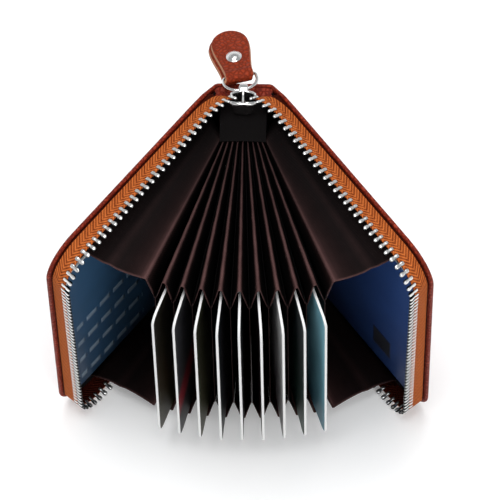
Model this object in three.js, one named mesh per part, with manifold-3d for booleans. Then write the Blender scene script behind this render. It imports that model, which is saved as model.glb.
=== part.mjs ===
// Zip-round accordion credit card holder, standing on its short end and open like a book.
// Millimetres, +Z up. The covers hinge on the spine at the back, and the mouth opens towards -Y.
// Inside a cover, "inward" is the distance from the lining's face and "u" the distance from the hinge.
import * as THREE from 'three';
import { mergeVertices } from 'three/addons/utils/BufferGeometryUtils.js';
import Module from 'manifold-3d';

const wasm = await Module();
wasm.setup();
const { degToRad, clamp } = THREE.MathUtils;

// Case: two covers on a spine
const CASE_HEIGHT = 110;
const CASE_DEPTH = 75;
const CORNER_RADIUS = 12;
const OPEN_ANGLE = degToRad(39);
const HINGE_X = 7.1;
const LEATHER = { inset: 0, back: 0, from: -2.3, to: -1.2 };
const BOARD = { inset: 6.7, back: 7, from: -1.1, to: -0.4 };
const LINING = { inset: 2.2, back: 1.5, from: -0.3, to: 0 };
const ARC_STEPS = 6;

// Spine: leather back, lining channel and the flaps that close it at both ends
const SPINE_FOLD_END = degToRad(49);
const SPINE_DIP = 2.8;
const CHANNEL_HALF_WIDTH = 6.5;
const CHANNEL_BACK = 0.9;
const CHANNEL_FRONT = -10.4;
const CHANNEL_WALL = 0.5;
const CHANNEL_INSET = 5;
const FLAP_HALF_WIDTH = 6.8;
const FLAP_FRONT = -14.5;
const FLAP_BACK = -8.3;
const FLAP_THICKNESS = 0.5;
const FLAP_INSET = 4.3;

// Zip: one tape and one row of teeth round three sides of each cover
const ZIP_INSET = 1.3;
const ZIP_START = 2;
const ZIP_PIVOT = -0.45;
const TAPE_OVERRUN = 1.6;
const TAPE_FLANGE = 5;
const TAPE_UNDERSIDE = -1.1;
const TAPE_HALF_THICKNESS = 0.3;
const TAPE_WEB = 4.1;
const TOOTH_PITCH = 2.4;
const TOOTH_ROOT = TAPE_WEB + 0.1;
const TOOTH_VALLEY = TAPE_WEB + 0.8;
const TOOTH_TIP = TAPE_WEB + 2.8;
const TOOTH_HALF_THICKNESS = 0.6;
const END_STOP = { from: -1.5, to: -0.2, halfThickness: 1 };
const LEAN_AT_CORNER = degToRad(8);
const LEAN_AT_SPINE = degToRad(35);

// Zip tail: the end of the tapes, tucked down inside the spine lining below the parked slider
const TAIL_HALF_WIDTH = 5.7;
const TAIL_HALF_THICKNESS = 0.3;
const TAIL_BOTTOM = 85;
const TAIL_TOP = 105;
const TAIL_STOP = { halfWidth: 2.2, halfThickness: 0.9, bottom: 105.2, top: 106.6 };

// Slider, its bridge and its pull. The slider lies along Y when drawn, then stands on end at the spine.
const SLIDER_Y = -5.5;
const SLIDER_Z = 110.6;
const SLIDER_HALF_LENGTH = 3.6;
const SLIDER_SHOULDER = 3.8;
const SLIDER_WAIST = 2.7;
const SLIDER_CHAMFER = 1;
const SLIDER_SHOULDER_END = -1.2;
const SLIDER_HALF_GAP = 1.75;
const SLIDER_PLATE = 0.75;
const SLIDER_POST = { halfWidth: 0.35, front: -3.3, back: -1.7 };
const BRIDGE = { halfWidth: 1.1, front: -2.8, back: 2.4, leg: 0.9, height: 2.8, roof: 0.8, gap: 0.1 };
const PULL_Y = -2;
const PULL_Z = 111.8;
const PULL_DROOP = degToRad(-22);
const PULL_YAW = degToRad(14);
const RING_WIRE = 0.6;
const RING_HALF_WIDTH = 4.9;
const RING_BOW = 4;
const RING_SIDE_END = 5;
const RING_CORNER = 1.2;
const RING_BAR_Y = RING_SIDE_END + RING_CORNER;
const WIRE_SIDES = 8;
const SAME_POINT = 0.01;
const TAB_LOOP_INNER = 0.9;
const TAB_LOOP_OUTER = 2.1;
const TAB_SLIT = 0.15;
const TAB_HALF_THICKNESS = 1.35;
const TAB_NECK = 4.1;
const TAB_END_RADIUS = 5.5;
const TAB_END_Y = 13;
const CUT_MARGIN = 1;
const RIVET_Y = 6.9;
const RIVET_HOLE = 0.95;
const RIVET_STEM = 0.8;
const RIVET_HEAD = 2.3;
const RIVET_DOME = 1.05;
const RIVET_SHOULDER = { width: 0.93, rise: 0.45 };
const RIVET_CROWN = { width: 0.6, rise: 0.85 };
const RIVET_GAP = 0.1;
const RIVET_BACK = { radius: 2, thickness: 0.6 };

// Fan: eleven pockets between the covers, parted by ten dividers and roofed by folded gussets
const POCKET_COUNT = 11;
const FAN_PITCH = 1.29;
const FAN_STEP = degToRad(4.95);
const FAN_Y = -13;
const FAN_BOW = 0.8;
const DIVIDER_HALF_THICKNESS = 0.12;
const DIVIDER_FROM = 0.15;
const DIVIDER_TO = 49.5;
const RIDGE_Z = 104;
const RIDGE_SLOPE = 4.65;
const GUSSET_MOUTH = 49;
const GUSSET_BACK = -1.8;
const GUSSET_CLEARANCE = 0.22;
const GUSSET_EDGE = 0.2;
const GUSSET_RIDGE = 0.86;
const ROOF_EDGE = { mouth: 62, back: 10, inward: 0.4, z: 103.5, thickness: 0.5 };

// Cards: the standard bank card size
const CARD_WIDTH = 53.98;
const CARD_HEIGHT = 85.6;
const CARD_THICKNESS = 0.76;
const CARD_CORNER = 3.18;
const FAN_CARD = { from: 5.4, bottom: 11 };
const COVER_CARD = { from: 16, bottom: 9.4, inward: 0.25 };

const LEATHER_FINISH = { color: 0x4f1712, roughness: 0.55 };
const BOARD_FINISH = { color: 0x8d8378, roughness: 0.9 };
const LINING_FINISH = { color: 0x2a1d18, roughness: 0.6 };
const SATIN_FINISH = { color: 0x241712, roughness: 0.5 };
const TAPE_FINISH = { color: 0x9a4f22, roughness: 0.8 };
const METAL_FINISH = { color: 0xc9c9c6, roughness: 0.25, metalness: 1 };
const CARD_FINISH = { color: 0xe8e8e4, roughness: 0.4 };
const COVER_CARD_FINISH = { color: 0x1f6fb0, roughness: 0.4 };

function piece(name, geometry, finish) {
  const mesh = new THREE.Mesh(geometry, new THREE.MeshStandardMaterial(finish));
  mesh.name = name;
  return mesh;
}

// Triangles that close a ring of points, turning the same way as the ring.
function capTriangles(ring) {
  const normal = new THREE.Vector3();
  ring.forEach((point, i) => {
    normal.add(new THREE.Vector3().crossVectors(point, ring[(i + 1) % ring.length]));
  });
  const turn = new THREE.Quaternion().setFromUnitVectors(normal.normalize(), new THREE.Vector3(0, 0, 1));
  const flat = ring.map((point) => {
    const { x, y } = point.clone().applyQuaternion(turn);
    return new THREE.Vector2(x, y);
  });
  return THREE.ShapeUtils.triangulateShape(flat, []).map(([a, b, c]) => {
    const turnsLeft = flat[b].clone().sub(flat[a]).cross(flat[c].clone().sub(flat[a])) > 0;
    return turnsLeft ? [a, b, c] : [a, c, b];
  });
}

function signedVolume(points, triangles) {
  return triangles.reduce((sum, [a, b, c]) => {
    return sum + points[a].dot(new THREE.Vector3().crossVectors(points[b], points[c])) / 6;
  }, 0);
}

// Solid skinned over rings of equally many points. A looped loft joins its last ring to its first.
function loft(rings, looped = false) {
  const count = rings[0].length;
  const points = rings.flat();
  const triangles = [];
  const spans = looped ? rings.length : rings.length - 1;
  for (let span = 0; span < spans; span += 1) {
    const here = span * count;
    const next = ((span + 1) % rings.length) * count;
    for (let i = 0; i < count; i += 1) {
      const j = (i + 1) % count;
      triangles.push([here + i, here + j, next + j], [here + i, next + j, next + i]);
    }
  }
  if (!looped) {
    const last = points.length - count;
    triangles.push(...capTriangles(rings[0]).map(([a, b, c]) => [a, c, b]));
    triangles.push(...capTriangles(rings.at(-1)).map((corners) => corners.map((corner) => last + corner)));
  }
  const inverted = signedVolume(points, triangles) < 0;
  const geometry = new THREE.BufferGeometry().setFromPoints(points);
  geometry.setIndex(triangles.flatMap(([a, b, c]) => (inverted ? [a, c, b] : [a, b, c])));
  return geometry;
}

// Upright sheet between two x values, cut to an outline drawn in (y, z).
function sheet(outline, xFrom, xTo) {
  const depth = xTo - xFrom;
  const geometry = new THREE.ExtrudeGeometry(outline, { depth, bevelEnabled: false, curveSegments: ARC_STEPS });
  const [x, y, z] = [new THREE.Vector3(1, 0, 0), new THREE.Vector3(0, 1, 0), new THREE.Vector3(0, 0, 1)];
  return geometry.applyMatrix4(new THREE.Matrix4().makeBasis(y, z, x)).translate(xFrom, 0, 0);
}

// Upright prism between two heights, standing on an outline drawn in (x, y).
function prism(outline, zFrom, zTo) {
  const depth = zTo - zFrom;
  const settings = { depth, bevelEnabled: false, curveSegments: ARC_STEPS };
  return new THREE.ExtrudeGeometry(outline, settings).translate(0, 0, zFrom);
}

function box([xFrom, yFrom, zFrom], [xTo, yTo, zTo]) {
  const geometry = new THREE.BoxGeometry(xTo - xFrom, yTo - yFrom, zTo - zFrom);
  return geometry.translate((xFrom + xTo) / 2, (yFrom + yTo) / 2, (zFrom + zTo) / 2);
}

function polygon(...corners) {
  return new THREE.Shape(corners.map(([x, y]) => new THREE.Vector2(x, y)));
}

function toSolid(geometry) {
  const bare = geometry.clone();
  bare.deleteAttribute('normal');
  bare.deleteAttribute('uv');
  const merged = mergeVertices(bare);
  return new wasm.Manifold(new wasm.Mesh({
    numProp: 3,
    vertProperties: new Float32Array(merged.attributes.position.array),
    triVerts: new Uint32Array(merged.index.array),
  }));
}

function toGeometry(solid) {
  const { vertProperties, triVerts } = solid.getMesh();
  const geometry = new THREE.BufferGeometry();
  geometry.setAttribute('position', new THREE.BufferAttribute(vertProperties, 3));
  geometry.setIndex(new THREE.BufferAttribute(triVerts, 1));
  return geometry;
}

// Covers
function coverOutline(inset, back) {
  const radius = CORNER_RADIUS - inset;
  const front = -(CASE_DEPTH - CORNER_RADIUS);
  const outline = new THREE.Shape();
  outline.absarc(front, CASE_HEIGHT - CORNER_RADIUS, radius, Math.PI / 2, Math.PI, false);
  outline.absarc(front, CORNER_RADIUS, radius, Math.PI, 1.5 * Math.PI, false);
  outline.lineTo(-back, inset);
  outline.lineTo(-back, CASE_HEIGHT - inset);
  return outline;
}

function coverLayer(name, { inset, back, from, to }, finish) {
  return piece(name, sheet(coverOutline(inset, back), -to, -from), finish);
}

// Zip line, measured from its bottom end at the spine, along the bottom, up the front and back along the top
const ZIP_RADIUS = CORNER_RADIUS - ZIP_INSET;
const ZIP_STRAIGHT = CASE_DEPTH - CORNER_RADIUS - ZIP_START;
const ZIP_CORNER = (ZIP_RADIUS * Math.PI) / 2;
const ZIP_FRONT = CASE_HEIGHT - 2 * CORNER_RADIUS;
const ZIP_LENGTH = 2 * (ZIP_STRAIGHT + ZIP_CORNER) + ZIP_FRONT;
const ZIP_FRONT_START = ZIP_STRAIGHT + ZIP_CORNER;
const ZIP_TOP_CORNER = ZIP_LENGTH - ZIP_STRAIGHT - ZIP_CORNER / 2;

// Place on the zip line and the direction out of the case there. The top half mirrors the bottom half.
function zipLine(distance) {
  const fromEnd = Math.min(distance, ZIP_LENGTH - distance);
  const turn = clamp((fromEnd - ZIP_STRAIGHT) / ZIP_RADIUS, 0, Math.PI / 2);
  const rise = Math.max(0, fromEnd - ZIP_FRONT_START);
  const u = Math.min(ZIP_START + fromEnd, CASE_DEPTH - CORNER_RADIUS) + ZIP_RADIUS * Math.sin(turn);
  const z = CORNER_RADIUS - ZIP_RADIUS * Math.cos(turn) + rise;
  const upper = distance > ZIP_LENGTH / 2;
  return {
    u,
    z: upper ? CASE_HEIGHT - z : z,
    outU: Math.sin(turn),
    outZ: upper ? Math.cos(turn) : -Math.cos(turn),
  };
}

// The tape stands square to the cover below and flops outwards towards the parked slider.
function zipLean(distance) {
  const front = clamp((distance - ZIP_FRONT_START) / (ZIP_TOP_CORNER - ZIP_FRONT_START), 0, 1);
  const top = clamp((distance - ZIP_TOP_CORNER) / (ZIP_LENGTH - ZIP_TOP_CORNER), 0, 1);
  return LEAN_AT_CORNER * front + (LEAN_AT_SPINE - LEAN_AT_CORNER) * top;
}

function coverPoint(distance, inward, outward) {
  const { u, z, outU, outZ } = zipLine(distance);
  return new THREE.Vector3(-inward, -(u + outU * outward), z + outZ * outward);
}

// Point on the leaning tape: along it from the pivot, and across its thickness.
function zipPoint(distance, along, across) {
  const lean = zipLean(distance);
  const inward = ZIP_PIVOT + along * Math.cos(lean) - across * Math.sin(lean);
  const outward = along * Math.sin(lean) + across * Math.cos(lean);
  return coverPoint(distance, inward, outward);
}

// Stations along the tape: few on the straight stretches, more round the corners and where it twists.
function tapeStations() {
  const stretches = [
    [TAPE_OVERRUN + ZIP_STRAIGHT, 1],
    [ZIP_CORNER, ARC_STEPS],
    [ZIP_FRONT, 2],
    [ZIP_CORNER, ARC_STEPS],
    [ZIP_STRAIGHT, 5],
  ];
  const stations = [-TAPE_OVERRUN];
  for (const [length, steps] of stretches) {
    const start = stations.at(-1);
    for (let step = 1; step <= steps; step += 1) stations.push(start + (length * step) / steps);
  }
  return stations;
}

// L-shaped strip: a flange between leather and lining, and a web that carries the teeth.
function zipTape() {
  return loft(tapeStations().map((distance) => [
    coverPoint(distance, TAPE_UNDERSIDE, TAPE_HALF_THICKNESS),
    coverPoint(distance, TAPE_UNDERSIDE, -TAPE_FLANGE),
    coverPoint(distance, ZIP_PIVOT, -TAPE_FLANGE),
    zipPoint(distance, 0, -TAPE_HALF_THICKNESS),
    zipPoint(distance, TAPE_WEB, -TAPE_HALF_THICKNESS),
    zipPoint(distance, TAPE_WEB, TAPE_HALF_THICKNESS),
  ]));
}

function zipBar(distance, tip, halfThickness) {
  return [
    zipPoint(distance, TOOTH_ROOT, -halfThickness),
    zipPoint(distance, TOOTH_ROOT, halfThickness),
    zipPoint(distance, tip, halfThickness),
    zipPoint(distance, tip, -halfThickness),
  ];
}

// A bead along the tape's edge whose height rises to a tooth once in every pitch.
function zipTeeth() {
  const toothCount = Math.floor(ZIP_LENGTH / TOOTH_PITCH);
  const rings = [];
  for (let half = 0; half <= 2 * toothCount; half += 1) {
    const tip = half % 2 ? TOOTH_TIP : TOOTH_VALLEY;
    rings.push(zipBar((half * TOOTH_PITCH) / 2, tip, TOOTH_HALF_THICKNESS));
  }
  return loft(rings);
}

function zipEndStop() {
  const { from, to, halfThickness } = END_STOP;
  return loft([from, to].map((distance) => zipBar(distance, TOOTH_TIP, halfThickness)));
}

// How far a leaf's root stands forward of the middle leaf's; place counts leaves from the middle.
function fanBow(place) {
  const outermost = (POCKET_COUNT - 2) / 2;
  return FAN_BOW * (place / outermost) ** 2;
}

// Fan of pockets. A leaf's -Y axis runs out along it from the fan's root.
function fanLeaf(place) {
  const leaf = new THREE.Group();
  leaf.position.set(place * FAN_PITCH, FAN_Y - fanBow(place), 0);
  leaf.rotation.z = place * FAN_STEP;
  leaf.updateMatrix();
  return leaf;
}

// Half the width of a pocket at a distance out from the fan's root.
function halfGap(out, place) {
  return (FAN_PITCH / 2) * Math.cos(place * FAN_STEP) + out * Math.tan(FAN_STEP / 2);
}

function valleyZ(out, place) {
  return RIDGE_Z - RIDGE_SLOPE * halfGap(out, place);
}

function mirrorInHeight(ring) {
  return ring.map(({ x, y, z }) => new THREE.Vector3(x, y, CASE_HEIGHT - z));
}

// A gusset runs back along the top of its pocket, down behind it and out along the bottom.
function gussetLoft(mouth, back) {
  return loft([mouth, back, mirrorInHeight(back), mirrorInHeight(mouth)]);
}

function divider(place) {
  const innerTop = valleyZ(DIVIDER_FROM, place);
  const outerTop = valleyZ(DIVIDER_TO, place);
  const outline = polygon(
    [-DIVIDER_FROM, CASE_HEIGHT - innerTop],
    [-DIVIDER_FROM, innerTop],
    [-DIVIDER_TO, outerTop],
    [-DIVIDER_TO, CASE_HEIGHT - outerTop],
  );
  return sheet(outline, -DIVIDER_HALF_THICKNESS, DIVIDER_HALF_THICKNESS);
}

// Roof-shaped fold over one pocket: two slopes from the dividers up to a ridge.
function gusset(place) {
  const ring = (valleyOut, ridgeOut, ridgeShift) => {
    const reach = halfGap(valleyOut, place) - GUSSET_CLEARANCE;
    const valley = valleyZ(valleyOut, place);
    return [
      new THREE.Vector3(-reach, -valleyOut, valley),
      new THREE.Vector3(0, -ridgeOut, RIDGE_Z),
      new THREE.Vector3(reach, -valleyOut, valley),
      new THREE.Vector3(reach - GUSSET_EDGE, -valleyOut, valley),
      new THREE.Vector3(0, -ridgeOut - ridgeShift, RIDGE_Z - GUSSET_RIDGE),
      new THREE.Vector3(GUSSET_EDGE - reach, -valleyOut, valley),
    ];
  };
  const backValley = GUSSET_BACK + RIDGE_Z - valleyZ(0, place);
  return gussetLoft(ring(GUSSET_MOUTH, GUSSET_MOUTH, 0), ring(backValley, GUSSET_BACK, GUSSET_RIDGE));
}

// Outermost gusset: from the last divider up to a ridge and across to the cover's lining.
function outerGusset(lastPlace) {
  const dividerPlace = lastPlace - 0.5;
  const dividerLeaf = fanLeaf(dividerPlace);
  const ridgeLeaf = fanLeaf(lastPlace);
  const cover = coverGroup();
  const ring = (valleyOut, ridgeOut, edgeU, ridgeShift, edgeShift) => {
    const valley = valleyZ(valleyOut, dividerPlace);
    const onDivider = (side) => new THREE.Vector3(side, -valleyOut, valley).applyMatrix4(dividerLeaf.matrix);
    const onRidge = (out, drop) => new THREE.Vector3(0, -out, RIDGE_Z - drop).applyMatrix4(ridgeLeaf.matrix);
    const onCover = (u, drop) => {
      return new THREE.Vector3(-ROOF_EDGE.inward, -u, ROOF_EDGE.z - drop).applyMatrix4(cover.matrix);
    };
    return [
      onDivider(GUSSET_CLEARANCE),
      onRidge(ridgeOut, 0),
      onCover(edgeU, 0),
      onCover(edgeU + edgeShift, ROOF_EDGE.thickness),
      onRidge(ridgeOut + ridgeShift, GUSSET_RIDGE),
      onDivider(GUSSET_CLEARANCE + GUSSET_EDGE),
    ];
  };
  const backValley = GUSSET_BACK + RIDGE_Z - valleyZ(0, dividerPlace);
  return gussetLoft(
    ring(GUSSET_MOUTH, GUSSET_MOUTH, ROOF_EDGE.mouth, 0, 0),
    ring(backValley, GUSSET_BACK, ROOF_EDGE.back, GUSSET_RIDGE, ROOF_EDGE.thickness),
  );
}

// Blank bank card standing on edge, its width running along -Y.
function card(from, bottom, xFrom) {
  const front = -(from + CARD_WIDTH);
  const top = bottom + CARD_HEIGHT;
  const [lowZ, highZ] = [bottom + CARD_CORNER, top - CARD_CORNER];
  const [frontY, backY] = [front + CARD_CORNER, -from - CARD_CORNER];
  const outline = new THREE.Shape();
  outline.absarc(backY, lowZ, CARD_CORNER, -Math.PI / 2, 0, false);
  outline.absarc(backY, highZ, CARD_CORNER, 0, Math.PI / 2, false);
  outline.absarc(frontY, highZ, CARD_CORNER, Math.PI / 2, Math.PI, false);
  outline.absarc(frontY, lowZ, CARD_CORNER, Math.PI, 1.5 * Math.PI, false);
  return sheet(outline, xFrom, xFrom + CARD_THICKNESS);
}

// Spine
function spineLeather() {
  const { from, to } = LEATHER;
  const outline = new THREE.Shape();
  outline.absarc(HINGE_X, 0, -from, SPINE_FOLD_END, Math.PI / 2, false);
  outline.absarc(-HINGE_X, 0, -from, Math.PI / 2, Math.PI - SPINE_FOLD_END, false);
  outline.absarc(-HINGE_X, 0, -to, Math.PI - SPINE_FOLD_END, Math.PI / 2, true);
  outline.absarc(HINGE_X, 0, -to, Math.PI / 2, SPINE_FOLD_END, true);
  return prism(outline, 0, CASE_HEIGHT - SPINE_DIP);
}

function spineLining() {
  const inner = CHANNEL_HALF_WIDTH - CHANNEL_WALL;
  const innerFront = CHANNEL_FRONT + CHANNEL_WALL;
  const outline = polygon(
    [-CHANNEL_HALF_WIDTH, CHANNEL_BACK],
    [-CHANNEL_HALF_WIDTH, CHANNEL_FRONT],
    [CHANNEL_HALF_WIDTH, CHANNEL_FRONT],
    [CHANNEL_HALF_WIDTH, CHANNEL_BACK],
    [inner, CHANNEL_BACK],
    [inner, innerFront],
    [-inner, innerFront],
    [-inner, CHANNEL_BACK],
  );
  return prism(outline, CHANNEL_INSET, CASE_HEIGHT - CHANNEL_INSET);
}

function endFlap(zFrom) {
  return box([-FLAP_HALF_WIDTH, FLAP_FRONT, zFrom], [FLAP_HALF_WIDTH, FLAP_BACK, zFrom + FLAP_THICKNESS]);
}

function zipTail() {
  return box(
    [-TAIL_HALF_WIDTH, SLIDER_Y - TAIL_HALF_THICKNESS, TAIL_BOTTOM],
    [TAIL_HALF_WIDTH, SLIDER_Y + TAIL_HALF_THICKNESS, TAIL_TOP],
  );
}

function zipTailStop() {
  const { halfWidth, halfThickness, bottom, top } = TAIL_STOP;
  return box([-halfWidth, SLIDER_Y - halfThickness, bottom], [halfWidth, SLIDER_Y + halfThickness, top]);
}

// Slider: two shield-shaped plates on a post, wide at the end where the rows of teeth come in
function sliderBody() {
  const plate = polygon(
    [-SLIDER_WAIST, SLIDER_HALF_LENGTH],
    [-SLIDER_WAIST, 0],
    [-SLIDER_SHOULDER, SLIDER_SHOULDER_END],
    [-SLIDER_SHOULDER, SLIDER_CHAMFER - SLIDER_HALF_LENGTH],
    [SLIDER_CHAMFER - SLIDER_SHOULDER, -SLIDER_HALF_LENGTH],
    [SLIDER_SHOULDER - SLIDER_CHAMFER, -SLIDER_HALF_LENGTH],
    [SLIDER_SHOULDER, SLIDER_CHAMFER - SLIDER_HALF_LENGTH],
    [SLIDER_SHOULDER, SLIDER_SHOULDER_END],
    [SLIDER_WAIST, 0],
    [SLIDER_WAIST, SLIDER_HALF_LENGTH],
  );
  const outside = SLIDER_HALF_GAP + SLIDER_PLATE;
  const reach = SLIDER_HALF_GAP + SLIDER_PLATE / 2;
  const { halfWidth, front, back } = SLIDER_POST;
  const post = box([-halfWidth, front, -reach], [halfWidth, back, reach]);
  const plates = [prism(plate, -outside, -SLIDER_HALF_GAP), prism(plate, SLIDER_HALF_GAP, outside)];
  return toGeometry(plates.reduce((solid, next) => solid.add(toSolid(next)), toSolid(post)));
}

function sliderBridge() {
  const { halfWidth, front, back, leg, height, roof, gap } = BRIDGE;
  const foot = SLIDER_HALF_GAP + SLIDER_PLATE + gap;
  const top = foot + height;
  const outline = polygon(
    [front, foot],
    [front + leg, foot],
    [front + leg, top - roof],
    [back - leg, top - roof],
    [back - leg, foot],
    [back, foot],
    [back, top],
    [front, top],
  );
  return sheet(outline, -halfWidth, halfWidth);
}

// D-shaped ring lying in its own XY plane: a bow through the bridge at the origin and a straight bar beyond.
function pullRing() {
  const path = new THREE.Path();
  const cornerX = RING_HALF_WIDTH - RING_CORNER;
  path.absellipse(0, RING_BOW, RING_HALF_WIDTH, RING_BOW, Math.PI, 2 * Math.PI, false);
  path.absarc(cornerX, RING_SIDE_END, RING_CORNER, 0, Math.PI / 2, false);
  path.absarc(-cornerX, RING_SIDE_END, RING_CORNER, Math.PI / 2, Math.PI, false);
  path.closePath();
  const points = path.getPoints(ARC_STEPS);
  const line = points.filter((point, i) => i === 0 || point.distanceTo(points[i - 1]) > SAME_POINT);
  if (line.at(-1).distanceTo(line[0]) < SAME_POINT) line.pop();
  const rings = line.map((point, i) => {
    const ahead = line[(i + 1) % line.length];
    const behind = line.at(i - 1);
    const run = ahead.clone().sub(behind).normalize();
    return Array.from({ length: WIRE_SIDES }, (unused, side) => {
      const angle = (2 * Math.PI * side) / WIRE_SIDES;
      const off = RING_WIRE * Math.cos(angle);
      return new THREE.Vector3(point.x + run.y * off, point.y - run.x * off, RING_WIRE * Math.sin(angle));
    });
  });
  return loft(rings, true);
}

// Strap folded round the ring's bar, its two layers cut to a paddle and pierced for the rivet.
function pullTab() {
  const end = TAB_END_Y + TAB_END_RADIUS + CUT_MARGIN;
  const outerTurn = Math.asin(TAB_HALF_THICKNESS / TAB_LOOP_OUTER);
  const innerTurn = Math.asin(TAB_SLIT / TAB_LOOP_INNER);
  const profile = new THREE.Shape();
  profile.moveTo(end, TAB_SLIT);
  profile.lineTo(end, TAB_HALF_THICKNESS);
  profile.absarc(0, 0, TAB_LOOP_OUTER, outerTurn, 2 * Math.PI - outerTurn, false);
  profile.lineTo(end, -TAB_HALF_THICKNESS);
  profile.lineTo(end, -TAB_SLIT);
  profile.absarc(0, 0, TAB_LOOP_INNER, 2 * Math.PI - innerTurn, innerTurn, true);
  const strap = sheet(profile, -TAB_END_RADIUS - CUT_MARGIN, TAB_END_RADIUS + CUT_MARGIN);

  const reach = TAB_LOOP_OUTER + CUT_MARGIN;
  const paddle = new THREE.Shape();
  paddle.moveTo(-TAB_NECK, -reach);
  paddle.lineTo(TAB_NECK, -reach);
  paddle.absarc(0, TAB_END_Y, TAB_END_RADIUS, 0, Math.PI, false);
  const blank = prism(paddle, -reach, reach);

  const hole = new THREE.CylinderGeometry(RIVET_HOLE, RIVET_HOLE, 4 * TAB_HALF_THICKNESS, 2 * ARC_STEPS);
  hole.rotateX(Math.PI / 2).translate(0, RIVET_Y, 0);
  return toGeometry(toSolid(strap).intersect(toSolid(blank)).subtract(toSolid(hole)));
}

// Turned piece standing on the tab's rivet axis, from a profile of radius and height.
function turned(profile) {
  const points = profile.map(([radius, height]) => new THREE.Vector2(radius, height));
  return new THREE.LatheGeometry(points, 2 * ARC_STEPS).rotateX(Math.PI / 2).translate(0, RIVET_Y, 0);
}

function rivetCap() {
  const seat = TAB_HALF_THICKNESS + RIVET_GAP;
  return turned([
    [0, -TAB_HALF_THICKNESS],
    [RIVET_STEM, -TAB_HALF_THICKNESS],
    [RIVET_STEM, seat],
    [RIVET_HEAD, seat],
    [RIVET_HEAD * RIVET_SHOULDER.width, seat + RIVET_DOME * RIVET_SHOULDER.rise],
    [RIVET_HEAD * RIVET_CROWN.width, seat + RIVET_DOME * RIVET_CROWN.rise],
    [0, seat + RIVET_DOME],
  ]);
}

function rivetBack() {
  const { radius, thickness } = RIVET_BACK;
  const seat = -TAB_HALF_THICKNESS - RIVET_GAP;
  return turned([[0, seat - thickness], [radius, seat - thickness], [radius, seat], [0, seat]]);
}

// Assembly
function coverGroup() {
  const cover = new THREE.Group();
  cover.position.x = HINGE_X;
  cover.rotation.z = OPEN_ANGLE;
  cover.updateMatrix();
  return cover;
}

function coverHalf(side, gussetNumber) {
  const cover = coverGroup();
  cover.add(
    coverLayer(`${side}_cover_leather`, LEATHER, LEATHER_FINISH),
    coverLayer(`${side}_cover_board`, BOARD, BOARD_FINISH),
    coverLayer(`${side}_cover_lining`, LINING, LINING_FINISH),
    piece(`${side}_zip_tape`, zipTape(), TAPE_FINISH),
    piece(`${side}_zip_teeth`, zipTeeth(), METAL_FINISH),
    piece(`${side}_zip_end_stop`, zipEndStop(), METAL_FINISH),
    piece(
      `${side}_cover_card`,
      card(COVER_CARD.from, COVER_CARD.bottom, -COVER_CARD.inward - CARD_THICKNESS),
      COVER_CARD_FINISH,
    ),
  );
  const half = new THREE.Group();
  half.add(cover, piece(`gusset_${gussetNumber}`, outerGusset((POCKET_COUNT - 1) / 2), SATIN_FINISH));
  half.scale.x = side === 'left' ? -1 : 1;
  return half;
}

function spine() {
  const group = new THREE.Group();
  group.add(
    piece('spine_leather', spineLeather(), LEATHER_FINISH),
    piece('spine_lining', spineLining(), LINING_FINISH),
    piece('top_end_flap', endFlap(CASE_HEIGHT - FLAP_INSET - FLAP_THICKNESS), LINING_FINISH),
    piece('bottom_end_flap', endFlap(FLAP_INSET), LINING_FINISH),
    piece('zip_tail', zipTail(), TAPE_FINISH),
    piece('zip_tail_stop', zipTailStop(), METAL_FINISH),
  );
  return group;
}

function fan() {
  const group = new THREE.Group();
  const middle = (POCKET_COUNT - 1) / 2;
  for (let pocket = 1; pocket < POCKET_COUNT; pocket += 1) {
    const place = pocket - middle - 0.5;
    const leaf = fanLeaf(place);
    leaf.add(piece(`divider_${pocket}`, divider(place), SATIN_FINISH));
    group.add(leaf);
  }
  // The cards' front edges line up when the case is shut, just inside the rows of teeth.
  for (let pocket = 1; pocket < POCKET_COUNT - 1; pocket += 1) {
    const place = pocket - middle;
    const leaf = fanLeaf(place);
    const cardFrom = FAN_CARD.from - fanBow(place);
    leaf.add(
      piece(`gusset_${pocket + 1}`, gusset(place), SATIN_FINISH),
      piece(`card_${pocket}`, card(cardFrom, FAN_CARD.bottom, -CARD_THICKNESS / 2), CARD_FINISH),
    );
    group.add(leaf);
  }
  return group;
}

function slider() {
  const tab = new THREE.Group();
  tab.position.y = RING_BAR_Y;
  tab.add(
    piece('pull_tab', pullTab(), LEATHER_FINISH),
    piece('rivet_cap', rivetCap(), METAL_FINISH),
    piece('rivet_back', rivetBack(), METAL_FINISH),
  );
  const pull = new THREE.Group();
  pull.position.set(0, PULL_Y, PULL_Z);
  pull.rotation.set(PULL_DROOP, 0, PULL_YAW, 'ZXY');
  pull.add(piece('pull_ring', pullRing(), METAL_FINISH), tab);
  const body = new THREE.Group();
  body.position.set(0, SLIDER_Y, SLIDER_Z);
  body.rotation.x = -Math.PI / 2;
  body.add(
    piece('slider_body', sliderBody(), METAL_FINISH),
    piece('slider_bridge', sliderBridge(), METAL_FINISH),
  );
  const group = new THREE.Group();
  group.add(body, pull);
  return group;
}

// The holder stands with the middle of its bounding box over the origin.
const holder = new THREE.Group();
holder.add(spine(), coverHalf('left', 1), coverHalf('right', POCKET_COUNT), fan(), slider());
const extent = new THREE.Box3().setFromObject(holder, true);
const middle = extent.getCenter(new THREE.Vector3());
holder.position.set(-middle.x, -middle.y, -extent.min.z);

const cardHolder = new THREE.Group();
cardHolder.add(holder);

export default cardHolder;
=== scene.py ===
import math

import bmesh
import bpy
import numpy as np
from bpy.props import FloatProperty, FloatVectorProperty, PointerProperty
from mathutils import Matrix, Vector


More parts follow.
